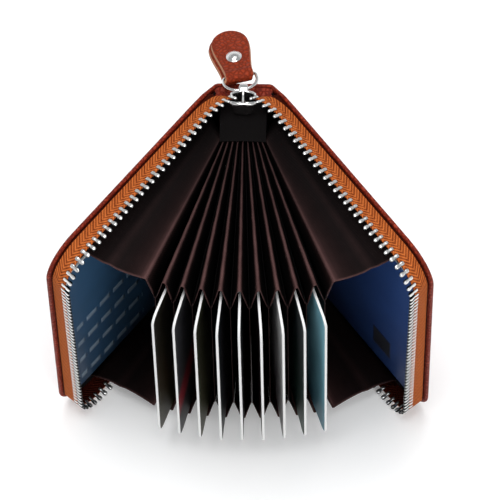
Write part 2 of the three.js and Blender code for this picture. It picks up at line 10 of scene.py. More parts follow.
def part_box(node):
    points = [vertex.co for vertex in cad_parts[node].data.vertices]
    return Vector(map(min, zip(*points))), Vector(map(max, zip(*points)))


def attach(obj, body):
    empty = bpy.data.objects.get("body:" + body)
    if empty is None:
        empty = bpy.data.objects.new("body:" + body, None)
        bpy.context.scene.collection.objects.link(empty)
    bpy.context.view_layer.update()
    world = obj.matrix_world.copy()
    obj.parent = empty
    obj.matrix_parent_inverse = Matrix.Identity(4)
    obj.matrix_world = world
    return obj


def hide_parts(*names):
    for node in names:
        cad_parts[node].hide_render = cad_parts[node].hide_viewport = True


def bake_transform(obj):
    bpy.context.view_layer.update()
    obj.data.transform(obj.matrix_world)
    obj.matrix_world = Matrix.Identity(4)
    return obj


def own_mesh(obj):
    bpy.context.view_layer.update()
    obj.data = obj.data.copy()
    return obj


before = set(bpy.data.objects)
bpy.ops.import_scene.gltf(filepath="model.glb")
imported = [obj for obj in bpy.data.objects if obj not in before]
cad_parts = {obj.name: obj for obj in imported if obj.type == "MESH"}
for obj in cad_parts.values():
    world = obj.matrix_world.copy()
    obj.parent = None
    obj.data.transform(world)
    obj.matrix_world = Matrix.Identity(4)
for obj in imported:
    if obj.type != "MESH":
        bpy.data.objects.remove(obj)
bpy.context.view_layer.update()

bl_info = {
    "name": "Zip-round accordion card holder",
    "version": (1, 0, 0),
    "blender": (4, 5, 0),
    "location": "3D View > Sidebar > Card holder",
    "description": "Builds an open leather card holder with a zip, a satin accordion and blank cards",
    "category": "Object",
}

# Lengths below are millimetres in the holder's own frame: the spine's inner face is y = 0, the mouth opens
# towards -Y and the holder stands on z = 0. row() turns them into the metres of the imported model.
MM = 0.001
LEATHER_OUT = 2.3
LEATHER_IN = 1.2
SHIFT_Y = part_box("spine_leather")[1].y / MM - LEATHER_OUT
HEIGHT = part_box("left_cover_leather")[1].z / MM
DEPTH = 75.0
CORNER = 12.0
OPEN = math.radians(39.0)
HINGE_X = 7.1
SPINE_DIP = 2.8
SIDES = {"left": -1.0, "right": 1.0}

# Zip: where the tape runs round a cover, its section, and how far it leans outwards
ZIP_INSET = 1.3
ZIP_START = 2.0
ZIP_PIVOT = -0.45
TAPE_EDGE = 4.95
TAPE_HALF = 0.3
TAPE_OVERRUN = 1.6
TAPE_UNDERSIDE = -1.1
TAPE_FLANGE = 5.0
LEAN_AT_CORNER = math.radians(8.0)
LEAN_AT_SPINE = math.radians(35.0)

# Accordion: the fan of pockets, its ridges and its valleys
POCKETS = 11
MIDDLE = (POCKETS - 1) / 2
FAN_PITCH = 1.29
FAN_STEP = math.radians(4.95)
FAN_Y = -13.0
FAN_BOW = 0.8
DIVIDER_TO = 49.5
# Rounded, because the frame's metres are in single precision.
RIDGE_Z = round(HEIGHT - 6.0, 3)
RIDGE_SLOPE = 4.65
MOUTH_OUT = 49.0
RIDGE_BACK = -1.8
VALLEY_BACK = 1.2

# Cards: the standard size, and where they sit in the pockets and on the covers
CARD_WIDTH = 53.98
CARD_HEIGHT = 85.6
CARD_THICKNESS = 0.76
CARD_CORNER = 3.18
FAN_CARD_FROM = 5.4
FAN_CARD_BOTTOM = 11.0
COVER_CARD_FROM = 16.0
COVER_CARD_BOTTOM = 9.4
COVER_CARD_INWARD = 0.25

# Slider and pull
SLIDER_AT = (0.0, -5.5, HEIGHT + 0.6)
PULL_AT = (0.0, -2.0, HEIGHT + 1.8)
PULL_DROOP = math.radians(-22.0)
PULL_YAW = math.radians(14.0)
RING_BAR = 6.2


def length(label, text, default):
    """A length in metres that the sidebar shows in the scene's units."""
    return FloatProperty(name=label, description=text, default=default, min=0.0, precision=5, unit="LENGTH",
                         subtype="DISTANCE")


def colour(label, text, default):
    """A linear colour without alpha."""
    return FloatVectorProperty(name=label, description=text, default=default, size=3, min=0.0, max=1.0,
                               subtype="COLOR")


class CardHolderSizes(bpy.types.PropertyGroup):
    rim_radius: length("Rim radius", "Rounding of the leather's turned edge", 0.00055)
    cover_crown: length("Cover crown", "How far the padded covers swell outwards", 0.0003)
    stitch_pitch: length("Stitch pitch", "Distance between the stitches round a cover", 0.0032)
    stitch_inset: length("Stitch inset", "Distance of the stitches from the cover's edge", 0.003)
    grain: length("Leather grain", "Width of one pebble of the leather's grain", 0.0013)
    tooth_pitch: length("Tooth pitch", "Distance between the zip's teeth", 0.0024)
    tooth_width: length("Tooth width", "Width of a tooth's head along the zip", 0.0013)
    herringbone: length("Herringbone", "Width of one herringbone column of the zip tape", 0.0022)
    thread_pitch: length("Thread pitch", "Distance between the twill lines of the zip tape", 0.0012)
    band_pitch: length("Band pitch", "Distance between the broad slanted bands of the zip tape", 0.0032)
    ridge_width: length("Ridge width", "Width of a pleat's ridge at the mouth", 0.0013)
    cloth: length("Cloth thickness", "Thickness of the satin and the lining", 0.00016)
    ring_wire: length("Ring wire", "Radius of the pull ring's wire", 0.0005)


class CardHolderColours(bpy.types.PropertyGroup):
    leather: colour("Leather", "Cover leather", (0.34, 0.04, 0.014))
    leather_dark: colour("Leather creases", "Cover leather between the pebbles", (0.12, 0.01, 0.004))
    tab: colour("Tab leather", "Pull tab leather", (0.36, 0.04, 0.009))
    cut_edge: colour("Cut edge", "Raw edge of the pull tab", (0.62, 0.29, 0.16))
    tape: colour("Tape", "Light threads of the zip tape", (0.76, 0.2, 0.045))
    tape_dark: colour("Tape shade", "Dark threads of the zip tape", (0.115, 0.011, 0.002))
    satin: colour("Satin", "Accordion satin", (0.0024, 0.0017, 0.0018))
    # Painted highlight: the satin's colour where light catches the pleats' ridges and hems.
    ridge: colour("Satin ridge", "Worn ridges and hems of the accordion", (0.105, 0.052, 0.05))
    metal: colour("Metal", "Zip teeth, slider, ring and rivet", (0.93, 0.93, 0.92))
    board: colour("Board", "Stiffener board inside the covers", (0.27, 0.22, 0.17))
    card_edge: colour("Card edge", "White core of the cards", (0.86, 0.86, 0.85))
    left_card: colour("Left cover card", "Card against the left cover", (0.03, 0.085, 0.17))
    right_card: colour("Right cover card", "Card against the right cover", (0.03, 0.075, 0.25))
    floor: colour("Floor", "Studio floor", (0.93, 0.93, 0.93))


def sizes():
    """Sizes that the sidebar shows."""
    return bpy.context.scene.card_holder_sizes


def colours():
    """Colours that the sidebar shows."""
    return bpy.context.scene.card_holder_colours


# Meshes


def row(points):
    """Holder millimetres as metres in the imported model's frame."""
    return (np.asarray(points, float) + (0.0, SHIFT_Y, 0.0)) * MM


def smoothstep(value):
    """Ease from 0 to 1: three squares less two cubes of the clamped value."""
    value = np.clip(value, 0.0, 1.0)
    return value * value * (3 - 2 * value)


def skin(rows, cols, wrap_rows=False, wrap_cols=False):
    """Quads between neighbouring points of a grid; a wrapped direction joins its last line to its first."""
    r, c = np.meshgrid(np.arange(rows - (not wrap_rows)), np.arange(cols - (not wrap_cols)), indexing="ij")
    corners = ((r, c), (r, c + 1), (r + 1, c + 1), (r + 1, c))
    return np.stack([(i % rows) * cols + j % cols for i, j in corners], -1).reshape(-1, 4)


def corner_uv(uv):
    """UVs of skin()'s corners, from a grid that is one line longer in each wrapped direction."""
    rows, cols = uv.shape[0] - 1, uv.shape[1] - 1
    r, c = np.meshgrid(np.arange(rows), np.arange(cols), indexing="ij")
    return np.stack([uv[r, c], uv[r, c + 1], uv[r + 1, c + 1], uv[r + 1, c]], -2).reshape(-1, 2)


def new_piece(name, points, faces, materials, uv=None, attributes=None, face_material=None, sharp=40.0):
    """One object at the origin from points in holder millimetres, with its faces turned outwards."""
    mesh = bpy.data.meshes.new(name)
    face_list = [face for group in faces for face in np.asarray(group).tolist()]
    mesh.from_pydata(row(points).reshape(-1, 3).tolist(), [], face_list)
    if uv is not None:
        layer = mesh.uv_layers.new(name="cloth")
        padded = np.zeros((len(mesh.loops), 2))
        padded[:len(uv)] = uv
        layer.data.foreach_set("uv", padded.ravel())
    for key, values in (attributes or {}).items():
        layer = mesh.attributes.new(key, "FLOAT", "POINT")
        layer.data.foreach_set("value", np.asarray(values, float).ravel())
    for material in materials:
        mesh.materials.append(material)
    if face_material is not None:
        mesh.polygons.foreach_set("material_index", np.asarray(face_material, np.int32))
    shape = bmesh.new()
    shape.from_mesh(mesh)
    bmesh.ops.recalc_face_normals(shape, faces=shape.faces)
    shape.to_mesh(mesh)
    shape.free()
    mesh.polygons.foreach_set("use_smooth", np.ones(len(mesh.polygons), bool))
    mesh.set_sharp_from_angle(angle=math.radians(sharp))
    mesh.update()
    piece = bpy.data.objects.new(name, mesh)
    bpy.context.scene.collection.objects.link(piece)
    return piece


def shell(outer, inner):
    """Closed wall between two grids of the same shape, and its faces: both skins, two sides and two ends."""
    rows, cols = outer.shape[:2]
    points = np.concatenate([outer, inner[:, ::-1]], 1)
    faces = skin(rows, 2 * cols, wrap_cols=True)
    j = np.arange(cols - 1)
    ends = []
    for start in (0, (rows - 1) * 2 * cols):
        ends.append(start + np.stack([j, j + 1, 2 * cols - 2 - j, 2 * cols - 1 - j], -1))
    return points, [faces] + ends


def loft(rings):
    """Skin over closed rings (count, points, 3) with a flat face on the first and the last ring."""
    count, size = rings.shape[:2]
    first = np.arange(size)[None, ::-1]
    last = first[:, ::-1] + (count - 1) * size
    return [skin(count, size, wrap_cols=True), first, last]


def lofted(name, rings, materials, **settings):
    """A piece lofted over rings in holder millimetres."""
    return new_piece(name, rings, loft(rings), materials, **settings)


def stacked(rings, height):
    """Flat rings (count, points, 2), each set at its own height."""
    level = np.broadcast_to(np.asarray(height)[:, None, None], (*rings.shape[:2], 1))
    return np.concatenate([rings, level], -1)


def upside_down(points, height):
    """Points mirrored in height between 0 and the given height."""
    return points * (1, 1, -1) + (0, 0, height)


def along_path(path, closed=False):
    """Unit direction of a flat path at each of its points, and the normal to its right."""
    run = np.roll(path, -1, 0) - np.roll(path, 1, 0) if closed else np.gradient(path, axis=0)
    run /= np.linalg.norm(run, axis=1, keepdims=True)
    return run, np.stack([run[:, 1], -run[:, 0]], -1)


def repeated(faces, points_each, count):
    """The faces of one shape, repeated for every copy of it."""
    return [(group[None] + np.arange(count)[:, None, None] * points_each).reshape(-1, group.shape[1])
            for group in faces]


def rounded_box_ring(half_width, half_height, corner, steps=3):
    """Outline of a rectangle with round corners, anticlockwise, as (points, 2)."""
    turn = np.linspace(0, math.pi / 2, steps + 1)
    quarter = np.stack([np.cos(turn), np.sin(turn)], -1) * corner
    corners = []
    for i, (sx, sy) in enumerate(((1, 1), (-1, 1), (-1, -1), (1, -1))):
        angle = i * math.pi / 2
        spin = np.array([[math.cos(angle), math.sin(angle)], [-math.sin(angle), math.cos(angle)]])
        corners.append(quarter @ spin + (sx * (half_width - corner), sy * (half_height - corner)))
    return np.concatenate(corners)


def add_modifier(piece, kind, **settings):
    """A modifier of a kind, with its settings."""
    modifier = piece.modifiers.new(kind.title(), kind)
    for key, value in settings.items():
        setattr(modifier, key, value)


def settle(piece, body, slot, *nodes):
    """The piece rides on a body and stands for CAD nodes; the slot is not used."""
    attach(piece, body)
    if nodes:
        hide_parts(*nodes)


# Places on the covers, the zip and the fan


def cover_point(side, u, inward, z):
    """u runs from the hinge along the cover, inward from the lining's face into the case."""
    u, inward, z = np.broadcast_arrays(np.asarray(u, float), inward, z)
    x = HINGE_X - inward * math.cos(OPEN) + u * math.sin(OPEN)
    y = -inward * math.sin(OPEN) - u * math.cos(OPEN)
    return np.stack([side * x, y, z], -1)


def edge_line(distance, inset, start):
    """Line at an inset round a cover: along the bottom from the spine, up the front and back along the top.
    Returns u, z and the direction out of the case there. The top half mirrors the bottom half."""
    radius = CORNER - inset
    straight = DEPTH - CORNER - start
    corner = radius * math.pi / 2
    total = 2 * (straight + corner) + HEIGHT - 2 * CORNER
    from_end = np.minimum(distance, total - distance)
    turn = np.clip((from_end - straight) / radius, 0.0, math.pi / 2)
    rise = np.maximum(0.0, from_end - straight - corner)
    u = np.minimum(start + from_end, DEPTH - CORNER) + radius * np.sin(turn)
    z = CORNER - radius * np.cos(turn) + rise
    upper = distance > total / 2
    return u, np.where(upper, HEIGHT - z, z), np.sin(turn), np.where(upper, 1.0, -1.0) * np.cos(turn)


ZIP_RADIUS = CORNER - ZIP_INSET
ZIP_STRAIGHT = DEPTH - CORNER - ZIP_START
ZIP_FRONT_START = ZIP_STRAIGHT + ZIP_RADIUS * math.pi / 2
ZIP_LENGTH = 2 * ZIP_FRONT_START + HEIGHT - 2 * CORNER
ZIP_TOP_CORNER = ZIP_LENGTH - ZIP_STRAIGHT - ZIP_RADIUS * math.pi / 4
BEND_RUN = 9.0
BEND_X = -1.1
BEND_Y = -2.2
BEND_PAST = 2.0


def zip_lean(distance):
    """The tape stands square to the cover below and flops outwards towards the parked slider."""
    front = np.clip((distance - ZIP_FRONT_START) / (ZIP_TOP_CORNER - ZIP_FRONT_START), 0.0, 1.0)
    top = np.clip((distance - ZIP_TOP_CORNER) / (ZIP_LENGTH - ZIP_TOP_CORNER), 0.0, 1.0)
    return LEAN_AT_CORNER * front + (LEAN_AT_SPINE - LEAN_AT_CORNER) * top


def zip_bend(side, distance):
    """Near the slider the tape's end turns in towards the slider's mouth, by the square of the run."""
    share = np.clip((distance - ZIP_LENGTH + BEND_RUN) / (BEND_RUN + BEND_PAST), 0.0, 1.0) ** 2
    return np.stack([side * BEND_X * share, BEND_Y * share, 0.0 * share], -1)


def zip_point(side, distance, along, across):
    """Point on the leaning tape: along it from the pivot, and across its thickness."""
    distance, along, across = np.broadcast_arrays(np.asarray(distance, float), along, across)
    lean = zip_lean(distance)
    u, z, out_u, out_z = edge_line(distance, ZIP_INSET, ZIP_START)
    inward = ZIP_PIVOT + along * np.cos(lean) - across * np.sin(lean)
    outward = along * np.sin(lean) + across * np.cos(lean)
    return cover_point(side, u + out_u * outward, inward, z + out_z * outward) + zip_bend(side, distance)


def flange_point(side, distance, inward, outward):
    """Point on the sewn-in flange of the tape, which doesn't lean."""
    distance, inward, outward = np.broadcast_arrays(np.asarray(distance, float), inward, outward)
    u, z, out_u, out_z = edge_line(distance, ZIP_INSET, ZIP_START)
    return cover_point(side, u + out_u * outward, inward, z + out_z * outward)


def fan_bow(place):
    """How far a leaf's root stands forward of the middle leaf's."""
    return FAN_BOW * (place / (MIDDLE - 0.5)) ** 2


def leaf_point(place, x, out, z):
    """Point on a leaf of the fan: x across it, out from its root towards the mouth."""
    turn = place * FAN_STEP
    x, out, z = np.broadcast_arrays(np.asarray(x, float), out, z)
    across = x * math.cos(turn) + out * math.sin(turn) + place * FAN_PITCH
    along = x * math.sin(turn) - out * math.cos(turn) + FAN_Y - fan_bow(place)
    return np.stack([across, along, z], -1)


def half_gap(out, place):
    """Half the width of a pocket at a distance out from the fan's root."""
    return FAN_PITCH / 2 * math.cos(place * FAN_STEP) + np.maximum(out, 0.0) * math.tan(FAN_STEP / 2)


def valley_z(out, place):
    """Height of the valleys: the ridge's height less the slope times half of the pocket's width."""
    return RIDGE_Z - RIDGE_SLOPE * half_gap(out, place)


def slider_point(points):
    """Slider's own frame (x, length, thickness), stood on end at the spine with its mouth upwards."""
    x, y, z = np.moveaxis(np.asarray(points, float), -1, 0)
    return np.stack([x, z, -y], -1) + SLIDER_AT


def pull_point(points):
    """Frame of the ring and the tab: drooped about X, then yawed about Z, at the bridge."""
    turn = Matrix.Rotation(PULL_YAW, 3, "Z") @ Matrix.Rotation(PULL_DROOP, 3, "X")
    return np.asarray(points, float) @ np.array(turn).T + PULL_AT


# Materials


def node(tree, kind, sockets=None, **settings):
    """A node with its settings; a socket takes a value, or a link when it is given another node's output."""
    made = tree.nodes.new(kind)
    for key, value in settings.items():
        setattr(made, key, value)
    for key, value in (sockets or {}).items():
        if isinstance(value, bpy.types.NodeSocket):
            tree.links.new(value, made.inputs[key])
        else:
            made.inputs[key].default_value = value
    return made


def blank_material(name, **sockets):
    """A material with constants set on its shader's own sockets; returns it, its tree and its shader."""
    found = bpy.data.materials.new(name)
    found.use_nodes = True
    tree = found.node_tree
    shader = tree.nodes["Principled BSDF"]
    for key, value in sockets.items():
        shader.inputs[key.replace("_", " ").title().replace("Ior", "IOR")].default_value = value
    return found, tree, shader


def math_node(tree, operation, first, second=0.0):
    """Output of one sum on values or other nodes' outputs."""
    return node(tree, "ShaderNodeMath", {0: first, 1: second}, operation=operation).outputs[0]


def plus(tree, first, second):
    return math_node(tree, "ADD", first, second)


def times(tree, first, second):
    return math_node(tree, "MULTIPLY", first, second)


def away(tree, value, middle):
    """How far a value lies from a middle one."""
    return math_node(tree, "ABSOLUTE", math_node(tree, "SUBTRACT", value, middle))


def toned(base, share):
    """A colour made darker or lighter by a share."""
    return [channel * share for channel in base]


def mix_colour(tree, factor, first, second):
    """Mix of two colours, each a value or another node's output, by a factor from 0 to 1."""
    made = node(tree, "ShaderNodeMix", data_type="RGBA")
    for socket, value in ((made.inputs[0], factor), (made.inputs[6], first), (made.inputs[7], second)):
        if isinstance(value, bpy.types.NodeSocket):
            tree.links.new(value, socket)
        else:
            socket.default_value = (*value, 1.0) if hasattr(value, "__len__") else value
    return made.outputs[2]


def span(tree, value, low, high, to_low=0.0, to_high=1.0):
    """Value carried from one range to another, clamped at both ends."""
    sockets = {"Value": value, "From Min": low, "From Max": high, "To Min": to_low, "To Max": to_high}
    return node(tree, "ShaderNodeMapRange", sockets).outputs["Result"]


def object_coordinates(tree):
    """Place on the piece in metres."""
    return node(tree, "ShaderNodeTexCoord").outputs["Object"]


def cloth_uv(tree):
    """Both directions of the piece's own UV map."""
    uv = node(tree, "ShaderNodeUVMap", uv_map="cloth").outputs[0]
    split = node(tree, "ShaderNodeSeparateXYZ", {0: uv})
    return split.outputs[0], split.outputs[1]


def noise(tree, place, size, detail=3.0):
    """Noise whose blotches are about size metres wide."""
    sockets = {"Vector": place, "Scale": 1.0 / size, "Detail": detail}
    return node(tree, "ShaderNodeTexNoise", sockets).outputs["Fac"]


def bump(tree, shader, height, distance, strength=1.0):
    """Relief from a height of 0 to 1 that stands for a distance in metres."""
    sockets = {"Height": height, "Distance": distance, "Strength": strength}
    tree.links.new(node(tree, "ShaderNodeBump", sockets).outputs["Normal"], shader.inputs["Normal"])


def leather_material(name, pale, dark):
    """Pebbled leather: rounded cells with dark creases between them, over broad blotches."""
    found, tree, shader = blank_material(name, specular_ior_level=0.16)
    place = object_coordinates(tree)
    warped = node(tree, "ShaderNodeVectorMath", {
        0: place,
        1: node(tree, "ShaderNodeVectorMath", {
            0: node(tree, "ShaderNodeTexNoise", {"Vector": place, "Scale": 700.0}).outputs["Color"],
            "Scale": 0.0005,
        }, operation="SCALE").outputs[0],
    }, operation="ADD").outputs[0]
    cells = node(tree, "ShaderNodeTexVoronoi", {"Vector": warped, "Scale": 1.0 / sizes().grain},
                 feature="DISTANCE_TO_EDGE").outputs["Distance"]
    pebble = span(tree, cells, 0.0, 0.28)
    blotch = noise(tree, place, 0.02)
    base = mix_colour(tree, pebble, dark, pale)
    shade = span(tree, blotch, 0.3, 0.7, 0.0, 0.45)
    tree.links.new(mix_colour(tree, shade, base, dark), shader.inputs["Base Color"])
    tree.links.new(span(tree, pebble, 0.0, 1.0, 0.62, 0.42), shader.inputs["Roughness"])
    height = plus(tree, pebble, times(tree, noise(tree, place, 0.0003), 0.3))
    bump(tree, shader, height, 0.0002, 0.9)
    return found


def cut_edge_material():
    """Raw leather edge: fine fibres over a pale ground."""
    found, tree, shader = blank_material("tab_cut_edge", roughness=0.8, specular_ior_level=0.3)
    place = object_coordinates(tree)
    fibres = noise(tree, place, 0.00025, 5.0)
    pale = colours().cut_edge
    tree.links.new(mix_colour(tree, fibres, toned(pale, 0.45), pale), shader.inputs["Base Color"])
    bump(tree, shader, fibres, 0.00008)
    return found


WEFT_PITCH = 0.4
RIB_SLANT = 1.1
BAND_SLANT = 0.9


def tape_material():
    """Herringbone tape on its own UVs in millimetres: twill lines whose slant flips at every column. The side
    that faces into the case, past the tape's edge, is painted dark as shade."""
    found, tree, shader = blank_material("zip_tape_herringbone", roughness=0.8, specular_ior_level=0.08)
    run, across = cloth_uv(tree)
    column = sizes().herringbone / MM
    slant = math_node(tree, "PINGPONG", across, column)
    phase = plus(tree, run, times(tree, slant, RIB_SLANT))
    pitch = sizes().thread_pitch / MM
    thread = math_node(tree, "SINE", times(tree, phase, 2 * math.pi / pitch))
    weft = math_node(tree, "SINE", times(tree, across, 2 * math.pi / WEFT_PITCH))
    lines = plus(tree, thread, times(tree, weft, 0.3))
    band = plus(tree, run, times(tree, across, BAND_SLANT))
    band = math_node(tree, "SINE", times(tree, band, 2 * math.pi / sizes().band_pitch * MM))
    lines = plus(tree, lines, times(tree, band, 0.3))
    speckle = noise(tree, object_coordinates(tree), 0.0005, 2.0)
    lines = plus(tree, lines, times(tree, speckle, 0.9))
    share = span(tree, lines, -1.2, 2.0)
    woven = mix_colour(tree, share, colours().tape_dark, colours().tape)
    inside = span(tree, across, TAPE_EDGE + 0.2, TAPE_EDGE + 0.45)
    shaded = toned(colours().tape_dark, 0.35)
    tree.links.new(mix_colour(tree, inside, woven, shaded), shader.inputs["Base Color"])
    bump(tree, shader, lines, 0.00012)
    return found


def satin_material():
    """Dark satin with a fine twill, painted lighter and browner as highlight where the ridge attribute marks
    the lit ridges and hems.
    """
    found, tree, shader = blank_material("pleat_satin", specular_ior_level=0.05)
    place = object_coordinates(tree)
    wave = {"Vector": place, "Scale": 640.0, "Distortion": 0.6, "Detail": 1.0}
    twill = node(tree, "ShaderNodeTexWave", wave, bands_direction="DIAGONAL").outputs["Fac"]
    highlight_share = node(tree, "ShaderNodeAttribute", attribute_name="ridge").outputs["Fac"]
    patchy = times(tree, highlight_share, span(tree, noise(tree, place, 0.006), 0.3, 0.7, 0.7, 1.1))
    ground = mix_colour(tree, twill, toned(colours().satin, 0.7), toned(colours().satin, 1.45))
    tree.links.new(mix_colour(tree, patchy, ground, colours().ridge), shader.inputs["Base Color"])
    tree.links.new(span(tree, twill, 0.0, 1.0, 0.6, 0.75), shader.inputs["Roughness"])
    bump(tree, shader, twill, 0.00003, 0.6)
    return found


def lining_material():
    """Plain-woven dark lining: two crossed sets of threads."""
    found, tree, shader = blank_material("woven_lining", roughness=0.75, specular_ior_level=0.12)
    place = object_coordinates(tree)
    crossed = []
    for direction in ("Z", "X"):
        wave = node(tree, "ShaderNodeTexWave", {"Vector": place, "Scale": 560.0, "Distortion": 0.4},
                    bands_direction=direction)
        crossed.append(wave.outputs["Fac"])
    weave = times(tree, *crossed)
    shade = toned(colours().satin, 2.1)
    tree.links.new(mix_colour(tree, weave, colours().satin, shade), shader.inputs["Base Color"])
    bump(tree, shader, weave, 0.00004)
    return found


def metal_material(name, roughness):
    """Bright plated metal with faint scuffs in its gloss, and painted shade: nearly black where the mesh's
    attribute marks the sides of the zip teeth that face their neighbours."""
    found, tree, shader = blank_material(name, metallic=1.0)
    place = object_coordinates(tree)
    scuffs = noise(tree, place, 0.0012, 5.0)
    tree.links.new(span(tree, scuffs, 0.3, 0.75, roughness, roughness + 0.12), shader.inputs["Roughness"])
    metal = colours().metal
    bright = mix_colour(tree, scuffs, metal, toned(metal, 0.9))
    # Painted shade: the attribute marks the tooth sides that face the next tooth.
    shade_mask = node(tree, "ShaderNodeAttribute", attribute_name="painted_shade").outputs["Fac"]
    shade_colour = toned(metal, 0.012)
    tree.links.new(mix_colour(tree, shade_mask, bright, shade_colour), shader.inputs["Base Color"])
    bump(tree, shader, scuffs, 0.00001, 0.4)
    return found


def board_material():
    """Grey board: fine fibres."""
    found, tree, shader = blank_material("grey_board", roughness=0.9)
    fibres = noise(tree, object_coordinates(tree), 0.0008, 6.0)
    grey = colours().board
    tree.links.new(mix_colour(tree, fibres, toned(grey, 0.7), grey), shader.inputs["Base Color"])
    bump(tree, shader, fibres, 0.00005)
    return found


def card_edge_material():
    """White plastic core with faint laminate lines."""
    found, tree, shader = blank_material("card_edge", roughness=0.45)
    grain = noise(tree, object_coordinates(tree), 0.0006, 4.0)
    white = colours().card_edge
    tree.links.new(mix_colour(tree, grain, white, toned(white, 0.93)), shader.inputs["Base Color"])
    bump(tree, shader, grain, 0.00001)
    return found


CHIP_COLOUR = (0.02, 0.02, 0.026)
DASH_COLOUR = (0.5, 0.6, 0.68)
DASH_COLUMNS = 9.0
DASH_ROWS = 7.0


def card_face_material(name, low, high, chip=None, bumps=None, band=None):
    """Printed card face on its UVs (0 to 1 each way): a slanted sweep between two colours with soft clouds,
    and where asked a contact chip, a streak or rows of raised dashes. A chip and the dashes lie inside
    (left, right, bottom, top) of the face."""
    found, tree, shader = blank_material(name, roughness=0.42, specular_ior_level=0.25)
    across, up = cloth_uv(tree)
    cloud = noise(tree, object_coordinates(tree), 0.014, 3.0)
    sweep = plus(tree, up, times(tree, across, 0.5))
    sweep = plus(tree, sweep, times(tree, cloud, 0.7))
    paint = mix_colour(tree, span(tree, sweep, 0.35, 1.5), low, high)

    def inside_patch(x0, x1, y0, y1, soft):
        """1 inside a rectangle of the face, falling to 0 over a soft edge."""
        terms = [span(tree, across, x0, x0 + soft), span(tree, across, x1, x1 - soft),
                 span(tree, up, y0, y0 + soft), span(tree, up, y1, y1 - soft)]
        product = terms[0]
        for term in terms[1:]:
            product = times(tree, product, term)
        return product

    height = times(tree, cloud, 0.02)
    if band:
        place, half, tint = band
        slanted = plus(tree, up, times(tree, across, 0.35))
        offset = away(tree, slanted, place)
        paint = mix_colour(tree, span(tree, offset, half, half * 0.4), paint, tint)
    if chip:
        patch = inside_patch(*chip, 0.01)
        paint = mix_colour(tree, patch, paint, CHIP_COLOUR)
        height = plus(tree, height, times(tree, patch, 0.5))
    if bumps:
        off_column = away(tree, math_node(tree, "FRACT", times(tree, across, DASH_COLUMNS)), 0.5)
        off_row = away(tree, math_node(tree, "FRACT", times(tree, up, DASH_ROWS)), 0.5)
        dashes = times(tree, span(tree, off_column, 0.4, 0.3), span(tree, off_row, 0.16, 0.08))
        dashes = times(tree, dashes, inside_patch(*bumps, 0.005))
        height = plus(tree, height, dashes)
        paint = mix_colour(tree, times(tree, dashes, 0.3), paint, DASH_COLOUR)
    tree.links.new(paint, shader.inputs["Base Color"])
    bump(tree, shader, height, 0.0003)
    return found


def thread_material():
    """Waxed sewing thread: twisted plies."""
    found, tree, shader = blank_material("cover_thread", roughness=0.6)
    place = object_coordinates(tree)
    plies = node(tree, "ShaderNodeTexWave", {"Vector": place, "Scale": 900.0}, bands_direction="DIAGONAL")
    dark, pale = colours().leather_dark, colours().leather
    tree.links.new(mix_colour(tree, plies.outputs["Fac"], dark, [min(1.0, c * 1.3) for c in pale]),
                   shader.inputs["Base Color"])
    bump(tree, shader, plies.outputs["Fac"], 0.00004)
    return found


def finish_of(name, maker, *values):
    """A material made once and found again by its name."""
    return bpy.data.materials.get(name) or maker(*values)


def cover_leather():
    pale, dark = colours().leather, colours().leather_dark
    return finish_of("pebbled_leather", leather_material, "pebbled_leather", pale, dark)


def satin():
    return finish_of("pleat_satin", satin_material)


def lining_cloth():
    return finish_of("woven_lining", lining_material)


def zip_tape_cloth():
    return finish_of("zip_tape_herringbone", tape_material)


def zip_metal():
    return finish_of("bright_teeth", metal_material, "bright_teeth", 0.26)


def slider_metal():
    return finish_of("polished_slider", metal_material, "polished_slider", 0.1)


# Covers


EDGE_ROWS = (0.0, 0.04, 0.14, 0.3, 0.55, 0.95, 1.6, 2.4, 3.0, 3.6, 5.0, 8.0, 13.0, 20.0, 30.0, 40.0)
BEFORE_CORNER = DEPTH - CORNER - 3.0
FOLD_RUN = 2.0
DIP_RUN = 9.0
CROWN_FROM_EDGE = 16.0
CROWN_FROM_SPINE = 12.0
GROOVE_DEPTH = 0.14
GROOVE_WIDTH = 0.5
GROOVE_FROM_SPINE = 4.0


def edge_distance(u, z, top):
    """Distance inside the cover's outline: straight sides and round front corners."""
    straight = np.minimum(np.minimum(DEPTH - u, z), top - z)
    low = CORNER - np.hypot(u - (DEPTH - CORNER), CORNER - z)
    high = CORNER - np.hypot(u - (DEPTH - CORNER), z - (HEIGHT - CORNER))
    beyond = u > DEPTH - CORNER
    distance = np.where(beyond & (z < CORNER), low, straight)
    return np.maximum(np.where(beyond & (z > HEIGHT - CORNER), high, distance), 0.0)


